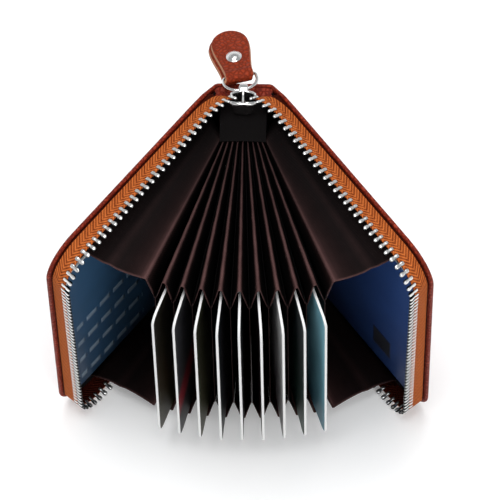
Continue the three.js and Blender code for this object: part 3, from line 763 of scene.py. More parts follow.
def jacket_half(side):
    """Leather from the middle of the spine over the fold to the cover's front edge. Columns run round the
    spine's flat, the fold's arc about the hinge and the cover; rows run from the bottom edge to the top one.
    The wall thins by a quarter circle at the rim, swells a little in the middle and sinks along the
    stitches."""
    spine = np.linspace(0.0, HINGE_X, 6)
    turn = np.linspace(math.pi / 2, OPEN, 10)[1:]
    rounded = DEPTH - CORNER + CORNER * np.sin(np.radians(np.arange(0, 91, 4.5)))
    flat = np.concatenate([np.linspace(0.8, BEFORE_CORNER, 15), rounded])
    count = len(spine) + len(turn) + len(flat)
    base = np.zeros((count, 2))
    normal = np.zeros((count, 2))
    base[:len(spine), 0] = spine
    normal[:len(spine), 1] = 1.0
    fold = slice(len(spine), len(spine) + len(turn))
    base[fold, 0] = HINGE_X
    normal[fold] = np.stack([np.cos(turn), np.sin(turn)], -1)
    cover = slice(len(spine) + len(turn), count)
    base[cover] = np.stack([HINGE_X + flat * math.sin(OPEN), -flat * math.cos(OPEN)], -1)
    normal[cover] = (math.cos(OPEN), math.sin(OPEN))
    run = np.concatenate([spine - HINGE_X - FOLD_RUN, -FOLD_RUN * (turn - OPEN), flat])
    over = np.clip(run - (DEPTH - CORNER), 0.0, CORNER)
    low = CORNER - np.sqrt(np.maximum(CORNER ** 2 - over ** 2, 0.0))
    top = HEIGHT - low - SPINE_DIP * (1 - smoothstep((run + FOLD_RUN) / DIP_RUN))
    steps = np.array(EDGE_ROWS)
    z = np.concatenate([low[:, None] + steps, ((low + top) / 2)[:, None], top[:, None] - steps[::-1]], 1)
    inset = edge_distance(run[:, None], z, top[:, None] + low[:, None])
    rim = sizes().rim_radius / MM
    short = np.maximum(rim - inset, 0.0)
    thin = 0.92 * (rim - np.sqrt(np.maximum(rim ** 2 - short ** 2, 0.0)))
    swell = smoothstep(inset / CROWN_FROM_EDGE) * smoothstep(run / CROWN_FROM_SPINE)[:, None]
    crown = sizes().cover_crown / MM * swell
    off_stitches = (inset - sizes().stitch_inset / MM) / GROOVE_WIDTH
    groove = GROOVE_DEPTH * np.exp(-off_stitches ** 2) * smoothstep(run / GROOVE_FROM_SPINE)[:, None]
    walls = []
    for offset in (LEATHER_OUT + crown - groove - thin, LEATHER_IN + thin):
        plan = base[:, None] + normal[:, None] * offset[..., None]
        walls.append(np.stack([side * plan[..., 0], plan[..., 1], z], -1))
    return shell(*walls)


def stitches(side):
    """Short capsules in a row at the stitch inset, each lying along the cover's edge in the groove."""
    inset = sizes().stitch_inset / MM
    start = 5.0
    straight = DEPTH - CORNER - start
    total = 2 * (straight + (CORNER - inset) * math.pi / 2) + HEIGHT - 2 * CORNER
    pitch = sizes().stitch_pitch / MM
    distance = np.arange(pitch, total - pitch / 2, pitch)
    along = np.array([-1.12, -1.0, -0.5, 0.5, 1.0, 1.12])
    radius = np.array([0.06, 0.19, 0.26, 0.26, 0.19, 0.06])
    turn = np.arange(6) * math.pi / 3
    reach = distance[:, None, None] + along[:, None]
    sideways = radius[:, None] * np.cos(turn) + 0.0 * reach
    lift = radius[:, None] * np.sin(turn) * 0.8 + 0.0 * reach
    u, z, out_u, out_z = edge_line(reach, inset, start)
    dip = 0.15 * np.abs(along[:, None] / along[-1]) ** 3
    points = cover_point(side, u + out_u * sideways, -(LEATHER_OUT + 0.02 + lift - dip), z + out_z * sideways)
    each = len(along) * len(turn)
    base = loft(points[0])
    return points, repeated(base, each, len(distance))


def cover_lining_grid(side):
    """Lining glued inside a cover: a flat sheet with its front corners rounded, puckered a little across its
    middle."""
    inset, back = 2.2, 1.5
    radius = CORNER - inset
    rounded = DEPTH - CORNER + radius * np.sin(np.radians(np.arange(0, 91, 10)))
    u = np.concatenate([np.linspace(back, BEFORE_CORNER, 18), rounded])
    over = np.clip(u - (DEPTH - CORNER), 0.0, radius)
    low = CORNER - np.sqrt(np.maximum(radius ** 2 - over ** 2, 0.0))
    share = np.linspace(0, 1, 31)
    z = low[:, None] + (HEIGHT - 2 * low)[:, None] * share
    pucker = 0.06 * np.sin(1.7 * z + 0.4 * u[:, None]) * np.exp(-((share - 0.5) / 0.3) ** 2)
    place = np.broadcast_to(u[:, None], z.shape)
    top = cover_point(side, place, -0.06 - 0.05 * np.abs(pucker), z)
    under = cover_point(side, place, -0.3, z)
    return shell(top, under)


class CARDHOLDER_OT_covers(bpy.types.Operator):
    """Leather jackets with their stitches, stiffener boards and cover linings"""
    bl_idname = "card_holder.covers"
    bl_label = "Covers"

    def execute(self, context):
        thread = finish_of("cover_thread", thread_material)
        board = finish_of("grey_board", board_material)
        for name, side in SIDES.items():
            jacket = new_piece(f"{name}_jacket", *jacket_half(side), [cover_leather()])
            nodes = [f"{name}_cover_leather"] + (["spine_leather"] if name == "left" else [])
            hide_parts(*nodes)
            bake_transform(jacket)

            row_of_stitches = new_piece(f"{name}_stitches", *stitches(side), [thread])
            settle(row_of_stitches, f"{name}_cover", "cover_leather")

            lining = new_piece(f"{name}_lining", *cover_lining_grid(side), [lining_cloth()])
            settle(lining, f"{name}_cover", "lining_cloth", f"{name}_cover_lining")

            node_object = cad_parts[f"{name}_cover_board"]
            node_object.data.materials.clear()
            node_object.data.materials.append(board)
        return {"FINISHED"}


# Spine


CHANNEL_END = 5.0
CHANNEL_CLOTH = 0.45


def swept_sheet(path, z_from, z_to, thickness, rows=12):
    """Upright sheet of even thickness along a path in plan: the inner wall is the path moved along its
    normal."""
    normal = along_path(path)[1]
    z = np.linspace(z_from, z_to, rows)
    walls = []
    for offset in (0.0, -thickness):
        plan = path + normal * offset
        walls.append(np.concatenate([np.broadcast_to(plan[:, None], (len(path), rows, 2)),
                                     np.broadcast_to(z[None, :, None], (len(path), rows, 1))], -1))
    return shell(*walls)


def channel_path():
    """Plan of the spine's lining: down one wall, across the front with round corners, and back."""
    half, front, back, corner = 6.45, -10.35, 0.85, 1.6
    turn = np.linspace(0, math.pi / 2, 8)
    right = np.stack([half - corner + corner * np.cos(turn), front + corner - corner * np.sin(turn)], -1)
    left = right[::-1] * (-1, 1)
    wall = np.linspace(back, front + corner, 8)[:-1]
    start = np.stack([np.full(7, half), wall], -1)
    end = start[::-1] * (-1, 1)
    across = np.linspace(half - corner, -(half - corner), 8)[1:-1]
    middle = np.stack([across, np.full(6, front)], -1)
    return np.concatenate([start, right, middle, left, end])


def hood_grid(upper):
    """Cloth that closes an end of the spine: it runs from below the slider down over the pleats' first folds,
    and droops at both sides. The bottom one mirrors the top one in height."""
    half_width, back, reach, cloth = 6.75, -2.8, 12.3, 0.2
    level, fall, droop = HEIGHT - 3.38, 2.2, 0.5
    x = np.linspace(-half_width, half_width, 19)
    run = np.linspace(0, 1, 17)
    y = back - reach * run
    z = level - fall * smoothstep((run - 0.3) / 0.85)
    sag = droop * (x / half_width) ** 2
    height = z[:, None] - sag[None] * (0.3 + 0.7 * run[:, None])
    top = np.stack(np.broadcast_arrays(x[None], y[:, None], height), -1)
    under = top - (0.0, 0.0, cloth)
    if not upper:
        top, under = upside_down(top, HEIGHT), upside_down(under, HEIGHT)
    return shell(top, under)


def facing_grid(side, upper):
    """Half of the leather turned in over an end of the spine. Rows run inwards from the spine's leather;
    columns run from the middle to the inner face of the cover, round the fold's arc where the row is level
    with it."""
    seat, turned_in, level, leather = 1.14, 4.0, HEIGHT - 3.15, 0.6
    run = np.linspace(0, 1, 12)
    y = seat - turned_in * run
    inward = -seat + 0.8 * smoothstep((0.2 - y) / 1.2)
    u = np.maximum((-inward * math.sin(OPEN) - y) / math.cos(OPEN), 0.0)
    on_arc = HINGE_X + np.sqrt(np.maximum(inward ** 2 - y ** 2, 0.0))
    on_cover = HINGE_X - inward * math.cos(OPEN) + u * math.sin(OPEN)
    reach = np.where(u > 0, on_cover, on_arc)
    share = np.linspace(0, 1, 14)
    x = side * reach[:, None] * share
    z = level - 0.3 * run[:, None] - 0.25 * (1 - share ** 2)
    top = np.stack(np.broadcast_arrays(x, y[:, None], z), -1)
    under = top - (0.0, 0.0, leather)
    if not upper:
        both_ends = HEIGHT - SPINE_DIP
        top, under = upside_down(top, both_ends), upside_down(under, both_ends)
    return shell(top, under)


def tail_grid():
    """Flat end of the two tapes, tucked down inside the spine's lining, with its corners rounded."""
    bottom, top, half_width, half_cloth = HEIGHT - 25.0, HEIGHT - 5.0, 5.7, 0.22
    corner_run, corner_depth = 2.5, 1.5
    z = np.linspace(bottom, top, 21)
    half = half_width - corner_depth * np.clip((bottom + corner_run - z) / corner_run, 0, 1) ** 2
    across = np.linspace(-1, 1, 13)
    x = across[None] * half[:, None]
    wave = 0.08 * np.sin(z[:, None] * 0.7 + across[None])
    middle = SLIDER_AT[1] + wave
    walls = [np.stack(np.broadcast_arrays(x, middle + lift, z[:, None]), -1)
             for lift in (half_cloth, -half_cloth)]
    uv = np.stack(np.broadcast_arrays(z[:, None], x + 2.0), -1)
    return walls, uv


def tail_clip():
    """Metal clip over the tail's top edge: a rounded rectangle, drawn in at both ends."""
    height = HEIGHT - np.array([4.9, 4.75, 4.5, 4.0, 3.8, 3.7])
    scale = np.array([0.8, 0.95, 1.0, 1.0, 0.95, 0.8])
    flat = rounded_box_ring(2.2, 0.9, 0.4)[None] * scale[:, None, None]
    return stacked(flat + (0.0, SLIDER_AT[1]), height)


class CARDHOLDER_OT_spine(bpy.types.Operator):
    """Lining channel, end hoods, leather facings and the zip's tail inside the spine"""
    bl_idname = "card_holder.spine"
    bl_label = "Spine"

    def execute(self, context):
        sheet = swept_sheet(channel_path(), CHANNEL_END, HEIGHT - CHANNEL_END, CHANNEL_CLOTH)
        channel = new_piece("spine_channel", *sheet, [lining_cloth()])
        settle(channel, "spine", "lining_cloth", "spine_lining")
        for name, upper in (("top", True), ("bottom", False)):
            hood = new_piece(f"{name}_hood", *hood_grid(upper), [satin()])
            settle(hood, "spine", "accordion_satin", f"{name}_end_flap")
            for cover, side in SIDES.items():
                facing = new_piece(f"{name}_{cover}_facing", *facing_grid(side, upper), [cover_leather()])
                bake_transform(facing)

        walls, uv = tail_grid()
        both = np.concatenate([uv, uv[:, ::-1], uv[:, :1]], 1)
        tail = new_piece("zip_tail_tape", *shell(*walls), [zip_tape_cloth()], uv=corner_uv(both))
        settle(tail, "spine", "zip_tape", "zip_tail")

        stop = lofted("zip_tail_clip", tail_clip(), [zip_metal()])
        settle(stop, "spine", "zip_metal", "zip_tail_stop")
        return {"FINISHED"}


# Zip


# The web tapers off from this far before the zip's end, over this run, by this depth.
TAPER_FROM = 1.6
TAPER_RUN = 3.0
TAPER_DEPTH = 3.6
PLAIN_STATION = 60
TEETH_OVERRUN = 2.7


def tape_stations():
    """Distances along the zip at which the tape's section is set."""
    plain = np.linspace(-TAPE_OVERRUN, ZIP_LENGTH - 12.0, 190)
    bent = np.linspace(ZIP_LENGTH - 11.0, ZIP_LENGTH - TAPER_FROM, 16)
    rounded = ZIP_LENGTH - TAPER_FROM + TAPER_RUN * np.sin(np.linspace(0.1, 0.49 * math.pi, 14))
    return np.concatenate([plain, bent, rounded])


def tape_section(side, distance):
    """L-shaped section carried along the zip: the web's outer face, its edge and its inner face, then the
    sewn flange back round to the start. Near the slider the web narrows to its edge, and the flange runs
    out."""
    taper = np.clip((distance - ZIP_LENGTH + TAPER_FROM) / TAPER_RUN, 0.0, 1.0)
    begin = TAPER_DEPTH * (1 - np.sqrt(1 - taper[:, None] ** 2))
    along_out = np.linspace(0.0, 1.0, 8)
    outer = zip_point(side, distance[:, None], begin + (TAPE_EDGE - 0.16 - begin) * along_out, TAPE_HALF)
    edge_along = TAPE_EDGE - np.array([0.06, 0.0, 0.06])
    edge = zip_point(side, distance[:, None], edge_along, np.array([0.17, 0.0, -0.17]))
    inner_along = begin + 0.25 + (TAPE_EDGE - 0.41 - begin) * along_out[::-1]
    inner = zip_point(side, distance[:, None], inner_along, -TAPE_HALF)
    inward = np.array([ZIP_PIVOT, ZIP_PIVOT, -0.8, TAPE_UNDERSIDE, TAPE_UNDERSIDE, -0.95, -0.7])
    outward = np.array([-2.0, -TAPE_FLANGE + 0.1, -TAPE_FLANGE, -TAPE_FLANGE + 0.1, -0.2, 0.18, 0.29])
    flange = flange_point(side, distance[:, None], inward, outward)
    root = inner[:, -1:]
    gone = smoothstep(taper * 1.4)[:, None, None]
    flange = flange * (1 - gone) + (root + (flange - flange.mean(1, keepdims=True)) * 0.03) * gone
    return np.concatenate([outer, edge, inner, flange], 1)


def tape_uv(section, distance):
    """UVs in millimetres: the distance along the zip, and the way round the section."""
    plain = section[PLAIN_STATION]
    step = np.linalg.norm(np.diff(plain, axis=0, append=plain[:1]), axis=1)
    across = np.concatenate([[0.0], np.cumsum(step)])
    return np.stack(np.broadcast_arrays(distance[:, None], across[None]), -1)


TOOTH_ALONG = np.array([3.7, 3.88, 4.6, 5.2, 5.75, 6.4, 6.8, 6.95])
TOOTH_WIDE = np.array([0.6, 0.92, 0.96, 0.68, 0.94, 1.0, 0.8, 0.4])
TOOTH_DEEP = np.array([0.4, 0.5, 0.5, 0.32, 0.46, 0.5, 0.38, 0.2])


def zip_teeth(side):
    """Teeth at even pitch: each a rounded bar that straddles the tape's edge, narrows to a neck and ends in a
    wider head."""
    pitch = sizes().tooth_pitch / MM
    distance = np.arange(0.5 * pitch, ZIP_LENGTH + TEETH_OVERRUN, pitch)
    turn = np.arange(8) * math.pi / 4 + math.pi / 8
    half_width = sizes().tooth_width / MM / 2
    run = half_width * TOOTH_WIDE[:, None] * np.sign(np.cos(turn)) * np.abs(np.cos(turn)) ** 0.5
    deep = TOOTH_DEEP[:, None] * np.sign(np.sin(turn)) * np.abs(np.sin(turn)) ** 0.5
    points = zip_point(side, distance[:, None, None] + run, TOOTH_ALONG[:, None], deep)
    faces = loft(points[0])
    # Painted shade: 1 on the sides of each tooth that face the next tooth, where the metal is painted nearly
    # black.
    painted_shade = np.broadcast_to(np.clip((np.abs(np.cos(turn)) - 0.4) / 0.4, 0.0, 1.0), points.shape[:3])
    return points, repeated(faces, len(TOOTH_ALONG) * len(turn), len(distance)), painted_shade


def end_stop(side):
    """Metal clip pinched over the tape's bottom end, rounded at all its corners."""
    distance = np.array([-1.5, -1.42, -1.2, -0.5, -0.28, -0.2])
    scale = np.array([0.75, 0.93, 1.0, 1.0, 0.93, 0.75])
    ring = rounded_box_ring(1.9, 1.0, 0.45)
    along = 5.1 + ring[None, :, 0] * scale[:, None]
    return zip_point(side, distance[:, None], along, ring[None, :, 1] * scale[:, None])


class CARDHOLDER_OT_zip(bpy.types.Operator):
    """Woven tapes, metal teeth and end stops round both covers"""
    bl_idname = "card_holder.zip"
    bl_label = "Zip"

    def execute(self, context):
        for name, side in SIDES.items():
            distance = tape_stations()
            section = tape_section(side, distance)
            uv = corner_uv(tape_uv(section, distance))
            tape = lofted(f"{name}_tape", section, [zip_tape_cloth()], uv=uv, sharp=60.0)
            settle(tape, f"{name}_cover", "zip_tape", f"{name}_zip_tape")
            points, faces, painted_shade = zip_teeth(side)
            teeth = new_piece(f"{name}_teeth", points, faces, [zip_metal()], attributes={"painted_shade": painted_shade},
                              sharp=50.0)
            settle(teeth, f"{name}_cover", "zip_metal", f"{name}_zip_teeth")
            stop = lofted(f"{name}_end_clip", end_stop(side), [zip_metal()])
            settle(stop, f"{name}_cover", "zip_metal", f"{name}_zip_end_stop")
        return {"FINISHED"}


# Slider, ring and tab


SLIDER_HALF_LENGTH = 3.6
PLATE_OUTSIDE = 2.5
PLATE_INSIDE = 1.75


def slider_half_width(y):
    """Half width of the slider's plates along its length: shoulders at the mouth, a waist behind and round
    ends."""
    waist, shoulder = 2.7, 3.8
    width = waist + (shoulder - waist) * (1 - smoothstep((y + 1.9) / 2.2))
    return width * np.sqrt(np.maximum(1 - np.clip((np.abs(y) - 2.2) / 1.42, 0.0, 1.0) ** 2.6, 0.02))


def slider_plate(outside):
    """One plate: a shield whose sides curl in towards the teeth by the fourth power of the width."""
    y = SLIDER_HALF_LENGTH * np.sin(np.linspace(-math.pi / 2, math.pi / 2, 25))
    across = np.sin(np.linspace(-math.pi / 2, math.pi / 2, 17))
    half = slider_half_width(y)
    x = across[None] * half[:, None]
    curl = 0.8 * np.abs(across[None]) ** 4 * (half[:, None] / half.max())
    fade = 0.18 * np.clip((np.abs(y) - 2.6) / 1.0, 0, 1)[:, None] ** 2
    walls = []
    for height, inward in ((PLATE_OUTSIDE, fade), (PLATE_INSIDE, -fade)):
        z = (height - curl - inward) * (1 if outside else -1)
        walls.append(slider_point(np.stack(np.broadcast_arrays(x, y[:, None], z), -1)))
    return shell(*walls)


def slider_post():
    """Wedge between the plates that parts the rows of teeth: a stretched ellipse through the gap."""
    half_width, half_length, place = 0.45, 0.95, -2.5
    turn = np.arange(20) * math.pi / 10
    ring = np.stack([half_width * np.cos(turn), half_length * np.sin(turn)], -1)
    height = np.array([-2.0, -1.6, 0.0, 1.6, 2.0])
    grow = np.array([1.15, 1.0, 0.95, 1.0, 1.15])
    flat = ring * grow[:, None, None] + (0.0, place)
    return slider_point(stacked(flat, height))


def bridge_rings():
    """Arch over the outer plate: a flat strip carried along half of a squarish ellipse."""
    middle, half_length, foot, height = -0.2, 2.2, 2.25, 2.72
    turn = np.linspace(0.0, math.pi, 25)
    reach = np.sign(np.cos(turn)) * np.abs(np.cos(turn)) ** 0.5
    rise = np.abs(np.sin(turn)) ** 0.55
    path = np.stack([middle + half_length * reach, foot + height * rise], -1)
    normal = -along_path(path)[1]
    ring = rounded_box_ring(1.1, 0.4, 0.28)
    flare = 1.0 + 0.25 * np.abs(np.cos(turn)) ** 4
    plan = path[:, None] + normal[:, None] * ring[None, :, 1:]
    x = ring[None, :, 0] * flare[:, None]
    return slider_point(np.stack([x, plan[..., 0], plan[..., 1]], -1))


def ring_rings():
    """D-shaped ring: a round wire along a half-ellipse bow, two short sides, round corners and a straight
    bar."""
    half, bow, side_end, corner = 4.9, 4.0, 5.0, 1.2
    turn = np.linspace(math.pi, 2 * math.pi, 33)
    bow_line = np.stack([half * np.cos(turn), bow + bow * np.sin(turn)], -1)
    turn = np.linspace(0, math.pi / 2, 7)
    right = np.stack([half - corner + corner * np.cos(turn), side_end + corner * np.sin(turn)], -1)
    bar = np.stack([np.linspace(half - corner, corner - half, 9)[1:-1], np.full(7, side_end + corner)], -1)
    path = np.concatenate([bow_line, right, bar, right[::-1] * (-1, 1)])
    normal = along_path(path, closed=True)[1]
    angle = np.arange(12) * math.pi / 6
    wire = sizes().ring_wire / MM
    plan = path[:, None] + normal[:, None] * wire * np.cos(angle)[None, :, None]
    lift = np.broadcast_to(wire * np.sin(angle)[None, :, None], (*plan.shape[:2], 1))
    return pull_point(np.concatenate([plan, lift], -1))


TAB_STRAIGHT = 13.0
TAB_NECK = 4.1
TAB_HALF_WIDTH = 5.5
TAB_LAYER = 0.75
TAB_HALF_LEATHER = 0.58
TAB_COLUMNS = 11


def tab_path():
    """Middle line of the folded strap in (length, thickness): in along the top layer, round the ring's bar,
    and out along the bottom layer."""
    layer, loop = TAB_LAYER, 2 * TAB_LAYER
    far = TAB_STRAIGHT + (TAB_HALF_WIDTH - 0.08) * np.sin(np.linspace(math.pi / 2, 0, 12))
    near = np.linspace(TAB_STRAIGHT, 2.2, 14)[1:]
    turn = np.linspace(math.asin(layer / loop) + 0.25, 2 * math.pi - math.asin(layer / loop) - 0.25, 22)
    top = np.concatenate([far, near])
    straight = np.stack([top, np.full(len(top), layer)], -1)
    fold = np.stack([loop * np.cos(turn), loop * np.sin(turn)], -1)
    back = straight[::-1] * (1, -1)
    return np.concatenate([straight, fold, back])


def tab_rings():
    """Strap section, a rectangle with its edges eased, carried along the folded path. Its width grows from
    the ring to the far end, which is cut round."""
    path = tab_path()
    run, right = along_path(path)
    normal = -right
    reach = path[:, 0]
    width = TAB_NECK + (TAB_HALF_WIDTH - TAB_NECK) * smoothstep((reach - 0.5) / 12.0)
    past = reach - TAB_STRAIGHT
    width = np.where(past > 0, np.sqrt(np.maximum(TAB_HALF_WIDTH ** 2 - past ** 2, 0.6)), width)
    across = np.linspace(-1, 1, TAB_COLUMNS)
    across = np.concatenate([across, across[::-1]])
    thick = np.repeat((-1.0, 1.0), TAB_COLUMNS)
    shoulder = 1 - 0.12 * np.abs(across) ** 8
    slip = 0.9 * smoothstep((TAB_LAYER - path[:, 1]) / (2 * TAB_LAYER))
    slant = 0.14 * thick * np.abs(across) ** 4 * np.sign(across)
    x = across[None] * width[:, None] - slip[:, None] + slant[None] * np.where(run[:, :1] < 0, 1.0, -1.0)
    offset = thick * shoulder * TAB_HALF_LEATHER
    plan = path[:, None] + normal[:, None] * offset[None, :, None]
    return np.stack([x, plan[..., 0], plan[..., 1]], -1)


RIVET_AT = 6.9
RIVET_SEAT = 1.33
RIVET_DOME = ((0.02, 1.05), (0.7, 1.0), (1.3, 0.83), (1.75, 0.58), (2.05, 0.3), (2.12, 0.2), (2.28, 0.2),
              (2.34, 0.1), (2.3, -0.05), (0.8, -0.1))
RIVET_DISC = ((0.4, 0.1), (2.0, 0.05), (2.05, -0.15), (1.9, -0.35), (1.3, -0.5), (1.1, -0.42), (0.02, -0.4))


def turned(profile, seat, segments=36):
    """Profile of (radius, height over the seat) turned about the tab's rivet axis."""
    turn = np.arange(segments) * 2 * math.pi / segments
    circle = np.stack([np.cos(turn), np.sin(turn)], -1)
    radius, height = np.array(profile).T
    rings = stacked(radius[:, None, None] * circle + (0.0, RIVET_AT), seat + height)
    return pull_point(rings + (0.0, RING_BAR, 0.0))


class CARDHOLDER_OT_slider(bpy.types.Operator):
    """Slider body with its bridge, and the pull ring"""
    bl_idname = "card_holder.slider"
    bl_label = "Slider and ring"

    def execute(self, context):
        metal = slider_metal()
        for name, outside in (("outer", True), ("inner", False)):
            plate = new_piece(f"slider_{name}_plate", *slider_plate(outside), [metal], sharp=50.0)
            add_modifier(plate, "BEVEL", width=0.00016, segments=3, limit_method="ANGLE")
            settle(plate, "slider", "slider_metal", *(["slider_body"] if outside else []))
        settle(lofted("slider_post", slider_post(), [metal]), "slider", "slider_metal")
        settle(lofted("slider_arch", bridge_rings(), [metal]), "slider", "slider_metal", "slider_bridge")
        rings = ring_rings()
        closed = skin(*rings.shape[:2], wrap_rows=True, wrap_cols=True)
        wire = new_piece("pull_ring_wire", rings, [closed], [metal])
        settle(wire, "ring", "slider_metal", "pull_ring")
        return {"FINISHED"}


class CARDHOLDER_OT_tab(bpy.types.Operator):
    """Folded leather pull tab with its rivet"""
    bl_idname = "card_holder.tab"
    bl_label = "Pull tab"

    def execute(self, context):
        pale = colours().tab
        dark = toned(pale, 0.45)
        leather = finish_of("pebbled_tab", leather_material, "pebbled_tab", pale, dark)
        rings = tab_rings()
        count, size = rings.shape[:2]
        column = np.tile(np.arange(size), count - 1)
        cut = np.isin(column, (TAB_COLUMNS - 1, 2 * TAB_COLUMNS - 1))
        face_material = np.concatenate([cut, [True, True]]).astype(np.int32)
        points = pull_point(rings + (0.0, RING_BAR, 0.0))
        tab = lofted("pull_tab_strap", points, [leather, cut_edge_material()], face_material=face_material,
                     sharp=50.0)
        settle(tab, "tab", "tab_leather", "pull_tab")
        for name, profile, seat, node_name in (("rivet_dome", RIVET_DOME, RIVET_SEAT, "rivet_cap"),
                                               ("rivet_disc", RIVET_DISC, -RIVET_SEAT, "rivet_back")):
            rivet = lofted(name, turned(profile, seat), [slider_metal()], sharp=60.0)
            settle(rivet, "tab", "slider_metal", node_name)
        return {"FINISHED"}


# Accordion


RIDGE_SHARES = np.array([0.4, 0.75, 1.0])
SLOPE_SHARES = np.array([0.06, 0.2, 0.45, 0.72, 1.0])
BACK_TURN = 2.0
VALLEY_FALL = 0.96
# Least painted highlight along the hem at the mouth.
HEM_HIGHLIGHT = 0.8
# Where an outermost fold's anchor lies on its cover; the anchor is worked out but not used.
FOLD_HELD_U = 35.0
FOLD_HELD_IN = 0.2


def mirrored_rows(points):
    """Rows of the upper half followed by the same rows mirrored in height, from the middle down."""
    return np.concatenate([points, upside_down(points[::-1][1:], HEIGHT)])


def valley_height(place, valley_out, fall):
    """Height of a valley line: on its slope under the roof, and a little behind the ridge down the back."""
    return np.where(fall > 0, valley_z(BACK_TURN, place) - fall * VALLEY_FALL, valley_z(valley_out, place))


def painted_ridge_light(rows, highlight_share):
    """How much painted highlight each point of a fold takes: its row's share times its column's, with a least
    value along the hem, which is the first two rows. Mirrored as the rows are."""
    painted_light = rows[:, None] * highlight_share[None]
    painted_light[:2] = np.maximum(painted_light[:2], HEM_HIGHLIGHT)
    return np.concatenate([painted_light, painted_light[::-1][1:]])


def gusset_rows():
    """How far out the ridge line and the valley line lie, and how far they have fallen, from the mouth to mid
    height."""
    hem = MOUTH_OUT + np.array([0.25, 0.0, -0.5])
    out = np.concatenate([hem, np.linspace(MOUTH_OUT - 2.0, BACK_TURN, 18)])
    turn = np.linspace(0, math.pi / 2, 6)[1:]
    drop = BACK_TURN - RIDGE_BACK
    ridge_out = np.concatenate([out, BACK_TURN - drop * np.sin(turn), np.full(6, RIDGE_BACK)])
    down_back = np.linspace(10.0, RIDGE_Z - HEIGHT / 2, 6)
    fall = np.concatenate([np.zeros(len(out)), drop * (1 - np.cos(turn)), down_back])
    valley_out = np.concatenate([out, np.linspace(BACK_TURN, VALLEY_BACK, 6)[1:], np.full(6, VALLEY_BACK)])
    return ridge_out, valley_out, fall


def gusset_grid(place):
    """Folded roof of one pocket. Rows run in from the mouth along the top, down the back and out along the
    bottom; columns run from valley to valley. A point lies between the valley and the ridge by its rise,
    which is about 1 across the pressed ridge and falls to 0 down the slopes."""
    ridge_out, valley_out, fall = gusset_rows()
    half = half_gap(valley_out, place)
    at_back = smoothstep(fall / 4.0)
    ridge = (0.25 + (sizes().ridge_width / MM / 2 - 0.25) * np.clip(ridge_out / MOUTH_OUT, 0, 1)) / half
    ridge = np.minimum(ridge, 0.5)[:, None]
    right = np.concatenate([ridge * RIDGE_SHARES, ridge + (1 - ridge) * SLOPE_SHARES], 1)
    across = np.concatenate([-right[:, ::-1], 0 * ridge, right], 1)
    top_rise = 1 - 0.05 * RIDGE_SHARES ** 2
    rise = np.concatenate([top_rise, 0.95 * (1 - SLOPE_SHARES) ** 1.1])
    rise = np.concatenate([rise[::-1], [1.0], rise])[None]
    low = valley_height(place, valley_out, fall)
    out = valley_out[:, None] + (ridge_out - valley_out)[:, None] * rise
    z = low[:, None] + (RIDGE_Z - fall - low)[:, None] * rise
    ripple = 0.05 * np.sin(0.9 * ridge_out[:, None] + 3.0 * across + place) * (1 - np.abs(across))
    x = across * (half - 0.15)[:, None] + ripple * (1 - at_back[:, None])
    points = leaf_point(place, x, out, z)
    # Painted highlight, strongest on the ridge and at the mouth, fading as painted shade deeper in and down
    # the back.
    half_highlight = np.array([1.0, 0.7, 0.4, 0.14, 0.02, 0.0, 0.0, 0.0])
    highlight_share = np.concatenate([half_highlight[::-1], [1.0], half_highlight])
    rows = np.clip(0.35 + 0.65 * ridge_out / MOUTH_OUT, 0.2, 1.0) * (1 - 0.8 * at_back)
    return mirrored_rows(points), painted_ridge_light(rows, highlight_share)


def outer_gusset_grid(side):
    """Outermost fold: from the last divider up to a ridge, then a panel that sags on its way across to the
    zip tape's foot on the cover. Rows run as in the other folds."""
    ridge_out, valley_out, fall = gusset_rows()
    place = side * MIDDLE
    last = side * (MIDDLE - 0.5)
    valley = leaf_point(last, side * 0.16, valley_out, valley_height(last, valley_out, fall))
    ridge = leaf_point(place, 0.0, ridge_out, RIDGE_Z - fall)
    share = np.clip((ridge_out - RIDGE_BACK) / (MOUTH_OUT - RIDGE_BACK), 0.0, 1.0)
    edge_back, edge_front = 5.0, DEPTH - 12.0
    edge_u = edge_back + (edge_front - edge_back) * share
    edge = cover_point(side, edge_u, 0.35, RIDGE_Z - 0.4 - fall)
    slope = np.array([0.0, 0.3, 0.6, 0.85, 0.95])[None, :, None]
    panel = np.array([0.02, 0.05, 0.1, 0.2, 0.32, 0.45, 0.55, 0.65, 0.78, 0.9, 1.0])[None, :, None]
    sag = (2.6 * share + 0.5)[:, None, None] * np.sin(math.pi * panel) ** 0.8
    crease = 0.8 * share[:, None, None] * np.exp(-((panel - 0.55) / 0.06) ** 2)
    down = np.where(fall[:, None, None] > 0, 0.3, 1.0) * np.array([0.0, 0.0, -1.0])
    first = valley[:, None] + (ridge - valley)[:, None] * slope
    second = ridge[:, None] + (edge - ridge)[:, None] * panel + (sag - crease) * down
    points = np.concatenate([first, second], 1)
    # Painted highlight across the outer fold: strongest on its ridge, with a faint line at the panel's
    # crease.
    highlight_share = np.array([0.0, 0.0, 0.04, 0.2, 0.7, 1.0, 0.6, 0.28, 0.14, 0.08, 0.05, 0.14, 0.04, 0.06, 0.08,
                       0.06])
    rows = np.clip(0.15 + 0.85 * ridge_out / MOUTH_OUT, 0.1, 1.0)
    return mirrored_rows(points), painted_ridge_light(rows, highlight_share)


def divider_grid(place):
    """Upright cloth leaf between two pockets: a flat sheet with a slow wave, cut along the valleys."""
    out = np.concatenate([np.linspace(0.2, DIVIDER_TO - 1.0, 20), [DIVIDER_TO - 0.3, DIVIDER_TO]])
    share = np.linspace(0, 1, 25)
    top = valley_z(out, place) - 0.05
    z = (HEIGHT - top)[:, None] + (2 * top - HEIGHT)[:, None] * share
    wave = 0.12 * np.sin(z * 0.16 + place) * np.sin(math.pi * np.clip(out / DIVIDER_TO, 0, 1))[:, None]
    walls = [leaf_point(place, wave + lift, out[:, None], z) for lift in (0.1, -0.1)]
    # Painted highlight along the leaf's front edge, its hem.
    painted_light = np.zeros(z.shape)
    painted_light[-2:] = 0.4
    return walls, painted_light


